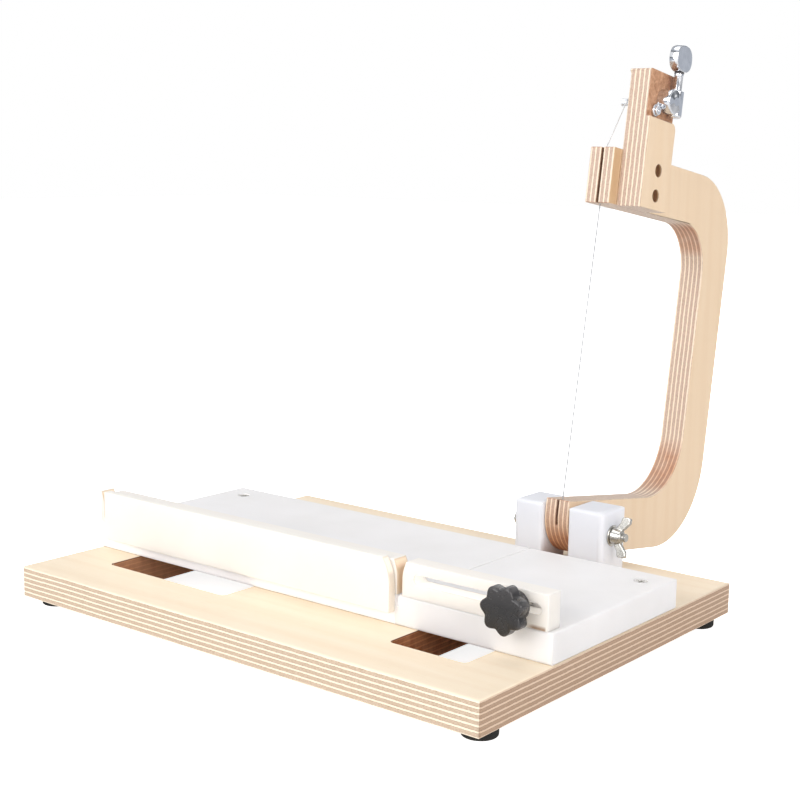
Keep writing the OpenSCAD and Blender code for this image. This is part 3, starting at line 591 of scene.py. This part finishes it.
def slab(outline, thick, place, turn):
    # a closed outline given as points across and along, made into a plate of even thickness
    mesh = bmesh.new()
    skin(mesh, [[mesh.verts.new((across, along, height)) for across, along in outline]
                for height in (-thick / 2, thick / 2)])
    stood(mesh, place, turn)
    return pieceFrom("slab", mesh)


def arcPoints(centreRadius, centreHeight, radius, start, stop, count=6):
    angles = [radians(start + (stop - start) * i / count) for i in range(count + 1)]
    return [(centreRadius + radius * cos(a), centreHeight + radius * sin(a)) for a in angles]


def quarterTurn(count):
    return [radians(90 * i / count) for i in range(count + 1)]


def bevelled(piece, width, segments):
    bevel = piece.modifiers.new("brokenEdges", "BEVEL")
    bevel.width = width
    bevel.segments = segments
    return bevel


softenedLook = {
    "weld": 0.001 * mm, "flatAngle": radians(0.4), "edgeAngle": radians(32),
}


def softened(name, node, radius, segments, shortest, share=None):
    # the CAD piece with its edges broken; edges shorter than the given length stay crisp
    look = softenedLook
    mesh = bmesh.new()
    mesh.from_mesh(frame["nodes"][node].data)
    bmesh.ops.remove_doubles(mesh, verts=mesh.verts, dist=look["weld"])
    bmesh.ops.dissolve_limit(mesh, angle_limit=look["flatAngle"],
                             verts=mesh.verts, edges=mesh.edges)
    weights = mesh.edges.layers.float.new("bevel_weight_edge")
    for edge in mesh.edges:
        if len(edge.link_faces) == 2 and edge.calc_face_angle(0) > look["edgeAngle"]:
            if edge.calc_length() > shortest:
                edge[weights] = share(edge) if share else 1.0
            else:
                edge.smooth = False
    piece = pieceFrom(name, mesh)
    bevel = bevelled(piece, radius, segments)
    bevel.limit_method = "WEIGHT"
    bevel.use_clamp_overlap = False
    flat = piece.modifiers.new("flatFaces", "WEIGHTED_NORMAL")
    flat.keep_sharp = True
    flat.weight = 100
    return piece


# wooden and white plastic pieces keep the CAD form with broken edges

# piece, node, how far its edges are broken, body, material and what the material has to know:
# the axis across the plies, the grain's axis, the number of plies, the tones and the marks
woodForms = [
    ("birchBase", "base_board", 0.7, "frame", "birchPlyBase", 2, 0, 13, "base", charAndShadeInSlots),
    ("birchArm", "cutting_arm", 0.6, "arm", "birchPlyArm", 0, 2, 11, "arm", scorchAndShadeOnArm),
    ("birchTunerBlock", "tuner_block", 1.6, "arm", "birchPlyBlock", 0, 2, 11, "arm", charAndShadeInRebate),
]
# the tones and the share of painted warm shade on the ends
plasticForms = [
    ("whiteBed", "bed", 0.45, "frame", "whitePlasticBed", "plain"),
    ("whiteFenceLeft", "fence_left", 0.35, "frame", "whitePlasticFenceLeft", "fence", 0.5),
    ("whiteFenceRight", "fence_right", 0.35, "frame", "whitePlasticFenceRight", "fence", 0.6),
    ("whiteGuidePlate", "front_guide", 0.4, "frame", "whitePlasticGuide", "plate", 0.22),
    ("whiteStopBlock", "stop_block", 0.4, "stop", "whitePlasticStop", "plain"),
    ("whitePivotBlockLeft", "pivot_block_left", 0.5, "frame", "whitePlasticBlockLeft", "pivot"),
    ("whitePivotBlockRight", "pivot_block_right", 0.5, "frame", "whitePlasticBlockRight", "pivot"),
]


def rounderLeft(edge):
    # the tuner block's left edges were rounded over, the others only broken
    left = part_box("tuner_block")[0].x + 0.1 * mm
    return 1.0 if all(corner.co.x < left for corner in edge.verts) else 0.3


def crispSeam(edge):
    # where fence and bed meet flush, the seam stays a hairline
    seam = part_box("bed")[1].z
    return 0.25 if all(abs(corner.co.z - seam) < 0.1 * mm for corner in edge.verts) else 1.0


edgeShares = {"tuner_block": rounderLeft, "bed": crispSeam,
              "fence_left": crispSeam, "fence_right": crispSeam}
for slotName, materialOf, forms in (("birch_ply", plywood, woodForms),
                                    ("white_plastic", whitePlastic, plasticForms)):
    for pieceName, node, radius, body, materialName, *values in forms:
        materials[pieceName] = (slotName, materialOf(materialName, node, *values))
        piece = softened(pieceName, node, radius * mm, 4, 1.0 * mm, edgeShares.get(node))
        finished(piece, pieceName, body, node)
    print("softened:", slotName, len(forms))


# screws keep the CAD form too, with a finer break on their edges

screwForms = [
    ("footScrews", "foot_screws", "screw", "frame"),
    ("bedScrews", "bed_screws", "screw", "frame"),
    ("pivotBlockScrews", "pivot_block_screws", "screw", "frame"),
    ("tunerBlockScrews", "tuner_block_screws", "screw", "arm"),
    ("tunerEarScrew", "tuner_ear_screw", "chrome", "arm"),
    ("buttonScrew", "button_screw", "chrome", "button"),
    ("wireAnchorPin", "wire_anchor_pin", "screw", "arm"),
]
for pieceName, node, madeOf, body in screwForms:
    finished(softened(pieceName, node, 0.08 * mm, 2, 0.3 * mm), madeOf, body, node)
print("screws:", len(screwForms))


# rubber feet

footLook = {
    "foot": 17.5 * mm, "draft": 0.4 * mm, "dish": 9 * mm, "dishDeep": 2.4 * mm,
    "hole": 5.8 * mm, "lip": 0.5 * mm, "round": 1.0 * mm,
}


def rubberFeet():
    look = footLook
    low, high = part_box("rubber_feet")
    tall = high.z - low.z
    half, dish, hole = (look[part] / 2 for part in ("foot", "dish", "hole"))
    lip, soft = look["lip"], look["round"]
    inset = half + look["draft"]
    profile = [(hole, look["dishDeep"]), (dish, look["dishDeep"]), (dish, lip)]
    profile += arcPoints(dish + lip, lip, lip, 180, 270, 4)
    profile += arcPoints(half - soft, soft, soft, 270, 358, 6)
    profile += [(inset - 0.3 * mm, tall - 0.5 * mm), (inset - 0.5 * mm, tall), (hole, tall)]
    for side, x in (("Left", low.x + inset), ("Right", high.x - inset)):
        for end, y in (("Front", low.y + inset), ("Back", high.y - inset)):
            place = Vector((x, y, low.z))
            foot = turned("rubberFoot" + end + side, profile, 64, place, Matrix.Identity(3))
            finished(foot, "rubber", "frame", "rubber_feet")


rubberFeet()


# star knob with its stud

knobLook = {
    "lobes": 7, "across": 24.5 * mm, "valley": 10.0 * mm, "fullness": 0.85,
    "phase": radians(18), "head": 7.2 * mm, "boss": 15 * mm, "bossFoot": 0.6 * mm,
    "bossFillet": 0.4 * mm, "frontRound": 1.5 * mm, "backRound": 0.5 * mm, "crown": 0.4 * mm,
    "columnsPerLobe": 20,
}


def knobReach(angle):
    look = knobLook
    wave = 0.5 + 0.5 * cos(look["lobes"] * (angle - look["phase"]))
    return look["valley"] + (look["across"] / 2 - look["valley"]) * wave ** look["fullness"]


def starKnob():
    look = knobLook
    low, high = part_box("knob")
    centre = Vector(joints["knob_spin"]["pos_m"])
    boss, foot, fillet = look["boss"] / 2, look["bossFoot"], look["bossFillet"]
    front, behind = look["frontRound"], look["backRound"]
    bossLong = high.y - low.y - look["head"]
    top = high.y - low.y - look["crown"]
    mesh = bmesh.new()

    def ring(reachAt, height):
        return ringOf(mesh, look["lobes"] * look["columnsPerLobe"],
                      lambda a: (centre.x + reachAt(a) * sin(a), high.y - height,
                                 centre.z + reachAt(a) * cos(a)))

    def crowned(share):
        # the front swells a little from the lobes to the middle, and loses the lobes on the way
        def reachAt(a):
            return share * (share * (knobReach(a) - front) + (1 - share) * (look["valley"] - front))
        return ring(reachAt, top + look["crown"] * (1 - share * share))

    rings = [ring(lambda a: boss - foot, 0.0), ring(lambda a: boss, foot),
             ring(lambda a: boss, bossLong - fillet), ring(lambda a: boss + fillet, bossLong)]
    # how far each row draws in from the scalloped outline, and how far it stands off the fence
    rows = [(behind * (1 - sin(a)), bossLong + behind * (1 - cos(a))) for a in quarterTurn(4)]
    rows += [(front * (1 - cos(a)), top - front * (1 - sin(a))) for a in quarterTurn(8)]
    rings += [ring(lambda a: knobReach(a) - inset, height) for inset, height in rows]
    rings += [crowned(share) for share in (0.92, 0.8, 0.65, 0.45, 0.25, 0.1)]
    skin(mesh, rings)
    finished(pieceFrom("starKnob", mesh, 60), "knob", "knob", "knob")


starKnob()


threadLook = {
    "pitch": 0.8 * mm, "deep": 0.42, "flat": 1.25, "slope": 1.6, "pointed": 0.8, "sides": 40,
    "rowsPerTurn": 10,
}


def threadedRod(name, radius, start, end, turn, centre, plain=0.0):
    # a rod with a rolled thread, its first stretch plain, its ends slightly pointed
    look = threadLook
    pitch = look["pitch"]
    deep, pointed = pitch * look["deep"], pitch * look["pointed"]
    long = end - start
    rows = int(long / pitch * look["rowsPerTurn"])
    mesh = bmesh.new()

    def ring(height):
        fromEnd = min(height, long - height)

        def pointAt(a):
            tooth = abs((height / pitch - a / tau) % 1.0 * 2 - 1)
            cut = deep * min(1.0, max(0.0, look["flat"] - look["slope"] * tooth))
            if height < plain:
                cut = 0.0
            if fromEnd < pointed:
                cut = max(cut, deep * (1 - fromEnd / pointed))
            return ((radius - cut) * cos(a), (radius - cut) * sin(a), start + height)
        return ringOf(mesh, look["sides"], pointAt)

    skin(mesh, [ring(long * row / rows) for row in range(rows + 1)])
    stood(mesh, centre, turn)
    return pieceFrom(name, mesh, 60)


def knobStud():
    low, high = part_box("knob_stud")
    centre = middle("knob_stud") * Vector((1, 0, 1))
    stud = threadedRod("knobStud", (high.z - low.z) / 2, -high.y, -low.y, facingFront, centre)
    finished(stud, "zinc", "knob", "knob_stud")


knobStud()


# pivot bolt, washers and wing nut

boltLook = {
    "radius": 2.48 * mm, "head": 3.4 * mm, "across": 8 * mm, "chamfer": 0.45 * mm,
    "underHead": 0.3 * mm, "threadInBlock": 6 * mm, "edge": 0.15 * mm,
}


def pivotBolt():
    look = boltLook
    low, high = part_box("pivot_bolt")
    shank = low.x + look["head"]
    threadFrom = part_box("pivot_block_right")[1].x - look["threadInBlock"]
    rod = threadedRod("pivotBoltRod", look["radius"], shank, high.x, facingX,
                      onAxis(0, pivot), threadFrom - shank)
    finished(rod, "zinc", "frame", "pivot_bolt")
    mesh = bmesh.new()
    corner = look["across"] / sqrt(3)
    rows = ((low.x, 0.88), (low.x + look["chamfer"], 1.0),
            (shank - look["underHead"], 1.0), (shank, 0.95))
    skin(mesh, [ringOf(mesh, 6, lambda a: (x, pivot.y + corner * share * cos(a),
                                           pivot.z + corner * share * sin(a)))
                for x, share in rows])
    head = pieceFrom("pivotBoltHead", mesh, 20)
    bevelled(head, look["edge"], 2)
    finished(head, "zinc", "frame", "pivot_bolt")


washerLook = {"inner": 2.75 * mm, "thick": 1.0 * mm, "soft": 0.25 * mm}


def washers():
    low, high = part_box("pivot_washers")
    look = washerLook
    inner, thick, soft = look["inner"], look["thick"], look["soft"]
    outer = (high.z - low.z) / 2
    profile = [(inner, soft), (inner + soft, 0), (outer - soft, 0), (outer, soft),
               (outer, thick - soft), (outer - soft, thick), (inner + soft, thick),
               (inner, thick - soft), (inner, soft)]
    for name, x in (("washerLeft", low.x), ("washerRight", high.x - thick)):
        washer = turned(name, profile, 64, onAxis(x, pivot), facingX)
        finished(washer, "zinc", "frame", "pivot_washers")


def fused(name, parts, voxel, smoothing):
    # separate solids melted into one casting, with the soft inner corners that a mould leaves
    mesh = bmesh.new()
    for part in parts:
        mesh.from_mesh(part.data)
        bpy.data.objects.remove(part)
    piece = pieceFrom(name, mesh)
    remesh = piece.modifiers.new("melt", "REMESH")
    remesh.mode = "VOXEL"
    remesh.voxel_size = voxel
    relax = piece.modifiers.new("relax", "SMOOTH")
    relax.factor = 0.5
    relax.iterations = smoothing
    graph = bpy.context.evaluated_depsgraph_get()
    shaped = bpy.data.meshes.new_from_object(piece.evaluated_get(graph))
    piece.modifiers.clear()
    piece.data = shaped
    shaped.polygons.foreach_set("use_smooth", [True] * len(shaped.polygons))
    return piece


wingLook = {
    "turn": radians(-14), "hub": 9.6 * mm, "hubTip": 7.0 * mm, "hubTall": 6 * mm,
    "span": 23 * mm, "width": 5.4 * mm, "rise": 4.4 * mm, "corner": 1.5 * mm, "thick": 2.6 * mm,
    "bore": 5.1 * mm,
}


def wingNut():
    look = wingLook
    centre = onAxis(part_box("wing_nut")[0].x, pivot)
    bore, hub, hubTip, tip = (look[part] / 2 for part in ("bore", "hub", "hubTip", "span"))
    tall, corner, inner = look["hubTall"], look["corner"], look["rise"]
    outer = inner + look["width"]
    profile = [(bore, 0), (hub, 0), (hub, 0.8 * mm), (hubTip + 0.2 * mm, tall - 0.6 * mm),
               (hubTip - 0.5 * mm, tall), (bore, tall), (bore, 0)]
    parts = [turned("hub", profile, 64, centre, facingX)]
    # one wing, from its root in the hub out to its tip and back
    outline = [(1.2 * mm, bore + 0.5 * mm), (1.4 * mm, 4.6 * mm),
               (inner - 0.4 * mm, tip - 3.4 * mm)]
    outline += arcPoints(inner + corner, tip - corner, corner, 180, 90, 4)
    outline += arcPoints(outer - corner, tip - corner, corner, 90, 0, 4)
    outline += [(outer - 0.3 * mm, tip - 3.6 * mm), (5.9 * mm, bore + 1.4 * mm),
                (5.4 * mm, bore + 0.5 * mm)]
    for half in (0, 180):
        # the plate's first direction runs out along the bolt, its second away from it
        toward = Matrix.Rotation(look["turn"] + radians(half), 3, "X")
        toward = toward @ Matrix(((1, 0, 0), (0, 0, -1), (0, 1, 0)))
        parts.append(slab(outline, look["thick"], centre, toward))
    finished(fused("wingNut", parts, 0.2 * mm, 5), "zinc", "wing", "wing_nut")


pivotBolt()
washers()
wingNut()
print("pivot hardware made")


# tuner

tunerLook = {
    "case": 14.5 * mm, "caseTall": 9.5 * mm, "barrel": 8 * mm, "barrelLong": 16 * mm,
    "web": (8.4 * mm, 12.4 * mm, 5.2 * mm), "ear": 7 * mm, "earTall": 1.6 * mm,
    "earNeck": 5.8 * mm, "neckFlare": 1.2 * mm, "shaft": 4.9 * mm, "shaftHidden": 8 * mm,
    "shaftShow": 9.4 * mm, "collar": 5.3 * mm, "tongue": (2.6 * mm, 9 * mm),
    "washer": (5.8 * mm, 2.7 * mm, 0.9 * mm),
}
postPlace = Vector(joints["post_turn"]["pos_m"])
shaftPlace = Vector(joints["button_turn"]["pos_m"])
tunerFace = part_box("tuner_housing")[0].x


def tunerHousing():
    look = tunerLook
    casePlace = onAxis(tunerFace, postPlace)
    case, tall = look["case"] / 2, look["caseTall"]
    dome = [(0, 0), (case, 0)] + arcPoints(case - 1.6 * mm, tall - 2.2 * mm, 1.6 * mm, 0, 50, 5)
    dome += [(case - 3.2 * mm, tall - 0.45 * mm), (case - 4.6 * mm, tall - 0.12 * mm), (0, tall)]
    barrel, long = look["barrel"] / 2, look["barrelLong"]
    tube = [(0, 0)] + arcPoints(barrel - 1.4 * mm, 1.4 * mm, 1.4 * mm, -90, 0, 5)
    tube += arcPoints(barrel - 1.1 * mm, long - 1.1 * mm, 1.1 * mm, 0, 90, 5) + [(0, long)]
    foot = armPoint(shaftPlace.x, backAlong(shaftPlace), upAlong(postPlace) - long / 2)
    ear, thin = look["ear"] / 2, look["earTall"]
    earPlace = onAxis(tunerFace, middle("tuner_ear_screw"))
    disc = [(0, 0), (ear, 0), (ear, thin - 0.4 * mm), (ear - 0.4 * mm, thin), (0, thin)]
    neck = earPlace - casePlace
    along = neck.normalized()
    neckTurn = Matrix((along.cross(toRight), along, toRight)).transposed()
    half = look["earNeck"] / 2
    flared = half + look["neckFlare"]
    neckOutline = [(-flared, 0), (flared, 0), (half, neck.length), (-half, neck.length)]
    # a web fills the corner between barrel and case, as the casting does
    wide, high, thick = (size / 2 for size in look["web"])
    webOutline = [(-wide, -high), (wide, -high), (wide, high), (-wide, high)]
    webTurn = Matrix((armUp.cross(toRight), armUp, toRight)).transposed()
    toBarrel = armBack * (backAlong(shaftPlace) - backAlong(postPlace))
    webMiddle = casePlace + toBarrel / 2 + toRight * thick
    parts = [
        turned("case", dome, 96, casePlace, facingX),
        turned("barrel", tube, 64, foot, armTurn),
        turned("ear", disc, 64, earPlace, facingX),
        slab(neckOutline, thin, casePlace + toRight * thin / 2, neckTurn),
        slab(webOutline, thick * 2, webMiddle, webTurn),
    ]
    finished(fused("tunerHousing", parts, 0.17 * mm, 6), "chrome", "arm", "tuner_housing")


def tunerShaft():
    look = tunerLook
    radius, collar = look["shaft"] / 2, look["collar"] / 2
    tongue, tongueLong = look["tongue"][0] / 2, look["tongue"][1]
    barrelTop = upAlong(postPlace) + look["barrelLong"] / 2
    foot, top = barrelTop - look["shaftHidden"], barrelTop + look["shaftShow"]
    long = top - foot
    profile = [(0, 0), (radius, 0), (radius, long - 2.0 * mm),
               (radius + 0.15 * mm, long - 1.7 * mm), (collar - 0.2 * mm, long - 1.4 * mm),
               (collar, long - 1.2 * mm), (collar, long - 0.2 * mm), (collar - 0.2 * mm, long),
               (tongue, long), (tongue, long + tongueLong), (0, long + tongueLong)]
    back = backAlong(shaftPlace)
    shaft = turned("tunerShaft", profile, 64, armPoint(shaftPlace.x, back, foot), armTurn)
    finished(shaft, "chrome", "button", "tuner_shaft")
    outer, inner, thick = look["washer"][0] / 2, look["washer"][1] / 2, look["washer"][2]
    profile = [(inner, 0)] + arcPoints(outer - thick / 2, thick / 2, thick / 2, -88, 88, 6)
    profile += [(inner, thick), (inner, 0)]
    ring = turned("buttonWasher", profile, 48, armPoint(shaftPlace.x, back, top), armTurn)
    finished(ring, "knob", "button", "button_washer")


buttonLook = {
    "wide": 18.2 * mm, "tall": 16.0 * mm, "thick": 5.6 * mm, "rim": 0.5 * mm,
    "belly": 0.35 * mm, "squareness": 0.84, "columns": 128,
}


def tunerButton():
    # an oval cap with flat faces, a slightly bellied side and softly rolled rims
    look = buttonLook
    rim, belly, half = look["rim"], look["belly"], look["thick"] / 2
    centre = middle("tuner_button")
    rows = [(belly + rim * (1 - sin(a)), rim * (1 - cos(a)) - half) for a in quarterTurn(5)]
    rows += [(0.1 * mm, -half / 4), (0.1 * mm, half / 4)]
    rows += [(inset, -height) for inset, height in reversed(rows[:6])]
    mesh = bmesh.new()

    def squarer(value):
        # a little squarer than an ellipse
        return copysign(abs(value) ** look["squareness"], value)

    def ring(inset, height, shrink=1.0):
        reachBack = (look["wide"] / 2 - inset) * shrink
        reachUp = (look["tall"] / 2 - inset) * shrink
        return ringOf(mesh, look["columns"],
                      lambda a: centre + toRight * height + armBack * (reachBack * squarer(cos(a)))
                      + armUp * (reachUp * squarer(sin(a))))

    rings = [ring(belly + rim, -half, shrink) for shrink in (0.1, 0.5, 0.85)]
    rings += [ring(inset, height) for inset, height in rows]
    rings += [ring(belly + rim, half, shrink) for shrink in (0.85, 0.5, 0.1)]
    skin(mesh, rings)
    finished(pieceFrom("tunerButton", mesh, 50), "chrome", "button", "tuner_button")


postLook = {
    "post": 5 * mm, "waist": 4.2 * mm, "start": 0.9 * mm, "tip": 0.2 * mm, "gap": 0.02 * mm,
    "bushBore": 5.12 * mm, "bushBody": 8 * mm, "flangeThick": 1.2 * mm,
}


def tunerPost():
    look = postLook
    low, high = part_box("tuner_post")
    bushLow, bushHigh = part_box("tuner_bushing")
    radius, waist, start = look["post"] / 2, look["waist"] / 2, look["start"]
    tip, body = radius - look["tip"], radius - look["gap"]
    waistEnd = bushLow.x - low.x - 1 * mm
    profile = [(0, start), (tip - 0.3 * mm, start), (tip, start + 0.2 * mm),
               (tip, start + 0.7 * mm), (waist + 0.1 * mm, start + 1.0 * mm),
               (waist, start + 1.4 * mm), (waist, waistEnd - 0.5 * mm), (body, waistEnd),
               (body, high.x - low.x), (0, high.x - low.x)]
    post = turned("tunerPost", profile, 64, onAxis(low.x, postPlace), facingX)
    finished(post, "chrome", "post", "tuner_post")
    flange, thick = (bushHigh.z - bushLow.z) / 2, look["flangeThick"]
    bore, body, long = look["bushBore"] / 2, look["bushBody"] / 2, bushHigh.x - bushLow.x
    profile = [(bore, 0.3 * mm), (2.9 * mm, 0), (flange - 0.5 * mm, 0), (flange, 0.5 * mm),
               (flange, thick), (body, thick), (body, long), (bore, long), (bore, 0.3 * mm)]
    bush = turned("tunerBushing", profile, 64, onAxis(bushLow.x, postPlace), facingX)
    finished(bush, "chrome", "arm", "tuner_bushing")


tunerHousing()
tunerShaft()
tunerButton()
tunerPost()
print("tuner made")


# cutting wire

wireLook = {
    "thick": 0.6 * mm, "sides": 10, "gap": 0.05 * mm, "turns": 3, "pitch": 1.2 * mm,
    "steps": 48, "pinRadius": 1.5 * mm, "pastPin": 3 * mm, "leavesHeel": 16 * mm,
    "entersKerf": 187.5 * mm, "leavesKerf": 219.5 * mm, "kerfWall": -0.2 * mm,
}


def wireRoute():
    # up from the pin at the heel, across the throat, through the tip's kerf and round the post
    look = wireLook
    offset = look["thick"] / 2 + look["gap"]
    coil = postLook["post"] / 2 + offset
    pin = middle("wire_anchor_pin")
    heelBack, heelUp = backAlong(pin) - look["pinRadius"] - offset, upAlong(pin)
    kerfBack = look["kerfWall"] - offset
    postBack, postUp = backAlong(postPlace), upAlong(postPlace)
    away = Vector((postBack - kerfBack, postUp - look["leavesKerf"]))
    # the straight run touches the coil where it is square to the coil's radius
    meet = atan2(away.y, away.x) + asin(coil / away.length) + pi / 2
    route = [(0, heelBack, heelUp - look["pastPin"]), (0, heelBack, heelUp),
             (0, heelBack, look["leavesHeel"]), (0, kerfBack, look["entersKerf"]),
             (0, kerfBack, look["leavesKerf"])]
    for i in range(look["turns"] * look["steps"] + 1):
        turns = i / look["steps"]
        a = meet - tau * turns
        route.append((look["pitch"] * turns, postBack + coil * cos(a), postUp + coil * sin(a)))
    wireX = middle("cutting_arm").x
    return [armPoint(wireX + across, back, up) for across, back, up in route]


def cuttingWire():
    look = wireLook
    radius = look["thick"] / 2
    points = wireRoute()
    mesh = bmesh.new()
    rings = []
    for i, point in enumerate(points):
        ahead = (points[min(i + 1, len(points) - 1)] - points[max(i - 1, 0)]).normalized()
        side = ahead.cross(toRight).normalized()
        lift = side.cross(ahead)
        rings.append(ringOf(mesh, look["sides"],
                            lambda a: point + side * (radius * cos(a)) + lift * (radius * sin(a))))
    skin(mesh, rings)
    finished(pieceFrom("cuttingWire", mesh), "wire", "arm", "cutting_wire")


cuttingWire()
print("wire made")


# camera, fitted to the edges of the base and the bed in the photograph

cameraLook = {
    "place": (510.2 * mm, -689.6 * mm, 255.7 * mm), "lens": 66.0, "sensor": 36,
    "azimuth": radians(38.68), "pitch": radians(9.44), "roll": radians(0.84),
}


def photoCamera():
    look = cameraLook
    azimuth, pitch, roll = look["azimuth"], look["pitch"], look["roll"]
    back = Vector((sin(azimuth) * cos(pitch), -cos(azimuth) * cos(pitch), sin(pitch)))
    right = Vector((cos(azimuth), sin(azimuth), 0))
    up = back.cross(right)
    rolledRight = right * cos(roll) + up * sin(roll)
    rolledUp = up * cos(roll) - right * sin(roll)
    data = bpy.data.cameras.new("photoCamera")
    data.lens = look["lens"]
    data.sensor_width = look["sensor"]
    camera = placed("photoCamera", data)
    turn = Matrix((rolledRight, rolledUp, back)).transposed()
    camera.matrix_world = Matrix.Translation(look["place"]) @ turn.to_4x4()
    bpy.context.scene.camera = camera


photoCamera()


# studio: white sweep, broad soft lamps, the brighter one from the front left

lampLook = [
    ("keyLamp", (-0.4, -2.5, 1.25), 2.0, 45.0, "FFFEFC"),
    ("fillLamp", (2.3, -0.9, 0.9), 1.6, 22.0, "FFFAF6"),
    ("topLamp", (-0.2, -0.2, 2.1), 1.6, 10.0, "FFFFFF"),
    ("backLamp", (-0.4, 2.0, 1.0), 1.2, 4.0, "FFFFFF"),
]
roomLook = {
    "aim": (0, 0, 0.1),
    "walls": "F2F2F4",
    "wallStrength": 0.55,
    # what metal mirrors, from straight below to straight above
    "mirrored": [(0.0, "E4E5E8"), (0.46, "E0E1E5"), (0.48, "C3C7CF"), (0.56, "C3C7CF"),
                 (0.58, "6C6E73"), (0.615, "85888D"), (0.63, "FFFFFF"), (0.78, "FFFFFF"),
                 (0.81, "6E7176"), (0.88, "C6C9CE"), (1.0, "F4F4F6")],
}


def studioLamps():
    for name, place, size, power, tone in lampLook:
        data = bpy.data.lights.new(name, "AREA")
        data.shape = "DISK"
        data.size = size
        data.energy = power
        data.color = paint(tone)[:3]
        lamp = placed(name, data)
        lamp.location = place
        lamp.rotation_mode = "QUATERNION"
        lamp.rotation_quaternion = (Vector(place) - Vector(roomLook["aim"])).to_track_quat("Z", "Y")


def mixedShader(share, first, second):
    return wired("MixShader", {0: share, 1: first, 2: second}).outputs[0]


def whiteRoom():
    look = roomLook
    world = bpy.data.worlds.new("whiteRoom")
    bpy.context.scene.world = world
    world.use_nodes = True
    tree = world.node_tree
    tree.nodes.clear()
    # metal mirrors the white room, with the dark gaps between its lamps and walls
    height = axesOf(source(tree, "TexCoord")["Generated"])[2]
    ramp = wired("ValToRGB", {0: spread(height, -1.0, 1.0)})
    elements, stops = ramp.color_ramp.elements, look["mirrored"]
    for where, tone in stops[1:-1]:
        elements.new(where)
    ordered = sorted(elements, key=lambda element: element.position)
    for element, (where, tone) in zip(ordered, stops):
        element.position = where
        element.color = paint(tone)
    walls, mirrored, white = (
        wired("Background", {"Color": tone, "Strength": strength}, tree).outputs[0]
        for tone, strength in ((paint(look["walls"]), look["wallStrength"]), (ramp.outputs[0], 1.0),
                               (paint("FFFFFF"), 1.0)))
    path = source(tree, "LightPath")
    mixed = mixedShader(path["Is Glossy Ray"], walls, mirrored)
    mixed = mixedShader(path["Is Camera Ray"], mixed, white)
    wired("OutputWorld", {"Surface": mixed})


floorLook = {
    "reach": 6.0,
    "below": 0.02 * mm,
    "tone": "F5F5F5",
    # the glow's strength near the object and away from it
    "near": (0.25, 0.86),
    "far": (0.8, 1.0),
}


def whiteFloor():
    # a bright sweep that clips to white in the picture but still takes the object's soft shadow
    look = floorLook
    mesh = bmesh.new()
    mesh.faces.new([mesh.verts.new((x * look["reach"], y * look["reach"], -look["below"]))
                    for x, y in ((-1, -1), (1, -1), (1, 1), (-1, 1))])
    floor = pieceFrom("studioFloor", mesh)
    material, tree, shader = newMaterial("whiteSweep")
    fixed(shader, {"Base Color": paint(look["tone"]), "Roughness": 0.8, "Specular IOR Level": 0.1})
    away = wired("VectorMath", {0: placeOf(tree)}, operation="LENGTH").outputs["Value"]
    (near, nearGlow), (far, farGlow) = look["near"], look["far"]
    wires = {"Color": paint("FFFFFF"), "Strength": spread(away, near, far, nearGlow, farGlow)}
    glow = wired("Emission", wires).outputs[0]
    lit = wired("AddShader", {0: shader.outputs[0], 1: glow}).outputs[0]
    path = source(tree, "LightPath")
    seen = calc("MAXIMUM", path["Is Camera Ray"], path["Is Transmission Ray"])
    mixed = mixedShader(seen, shader.outputs[0], lit)
    output = next(node for node in tree.nodes if node.type == "OUTPUT_MATERIAL")
    link(mixed, output.inputs["Surface"])
    floor.data.materials.append(material)


studioLamps()
whiteRoom()
whiteFloor()
bpy.context.scene.view_settings.view_transform = "Standard"
print("studio made")
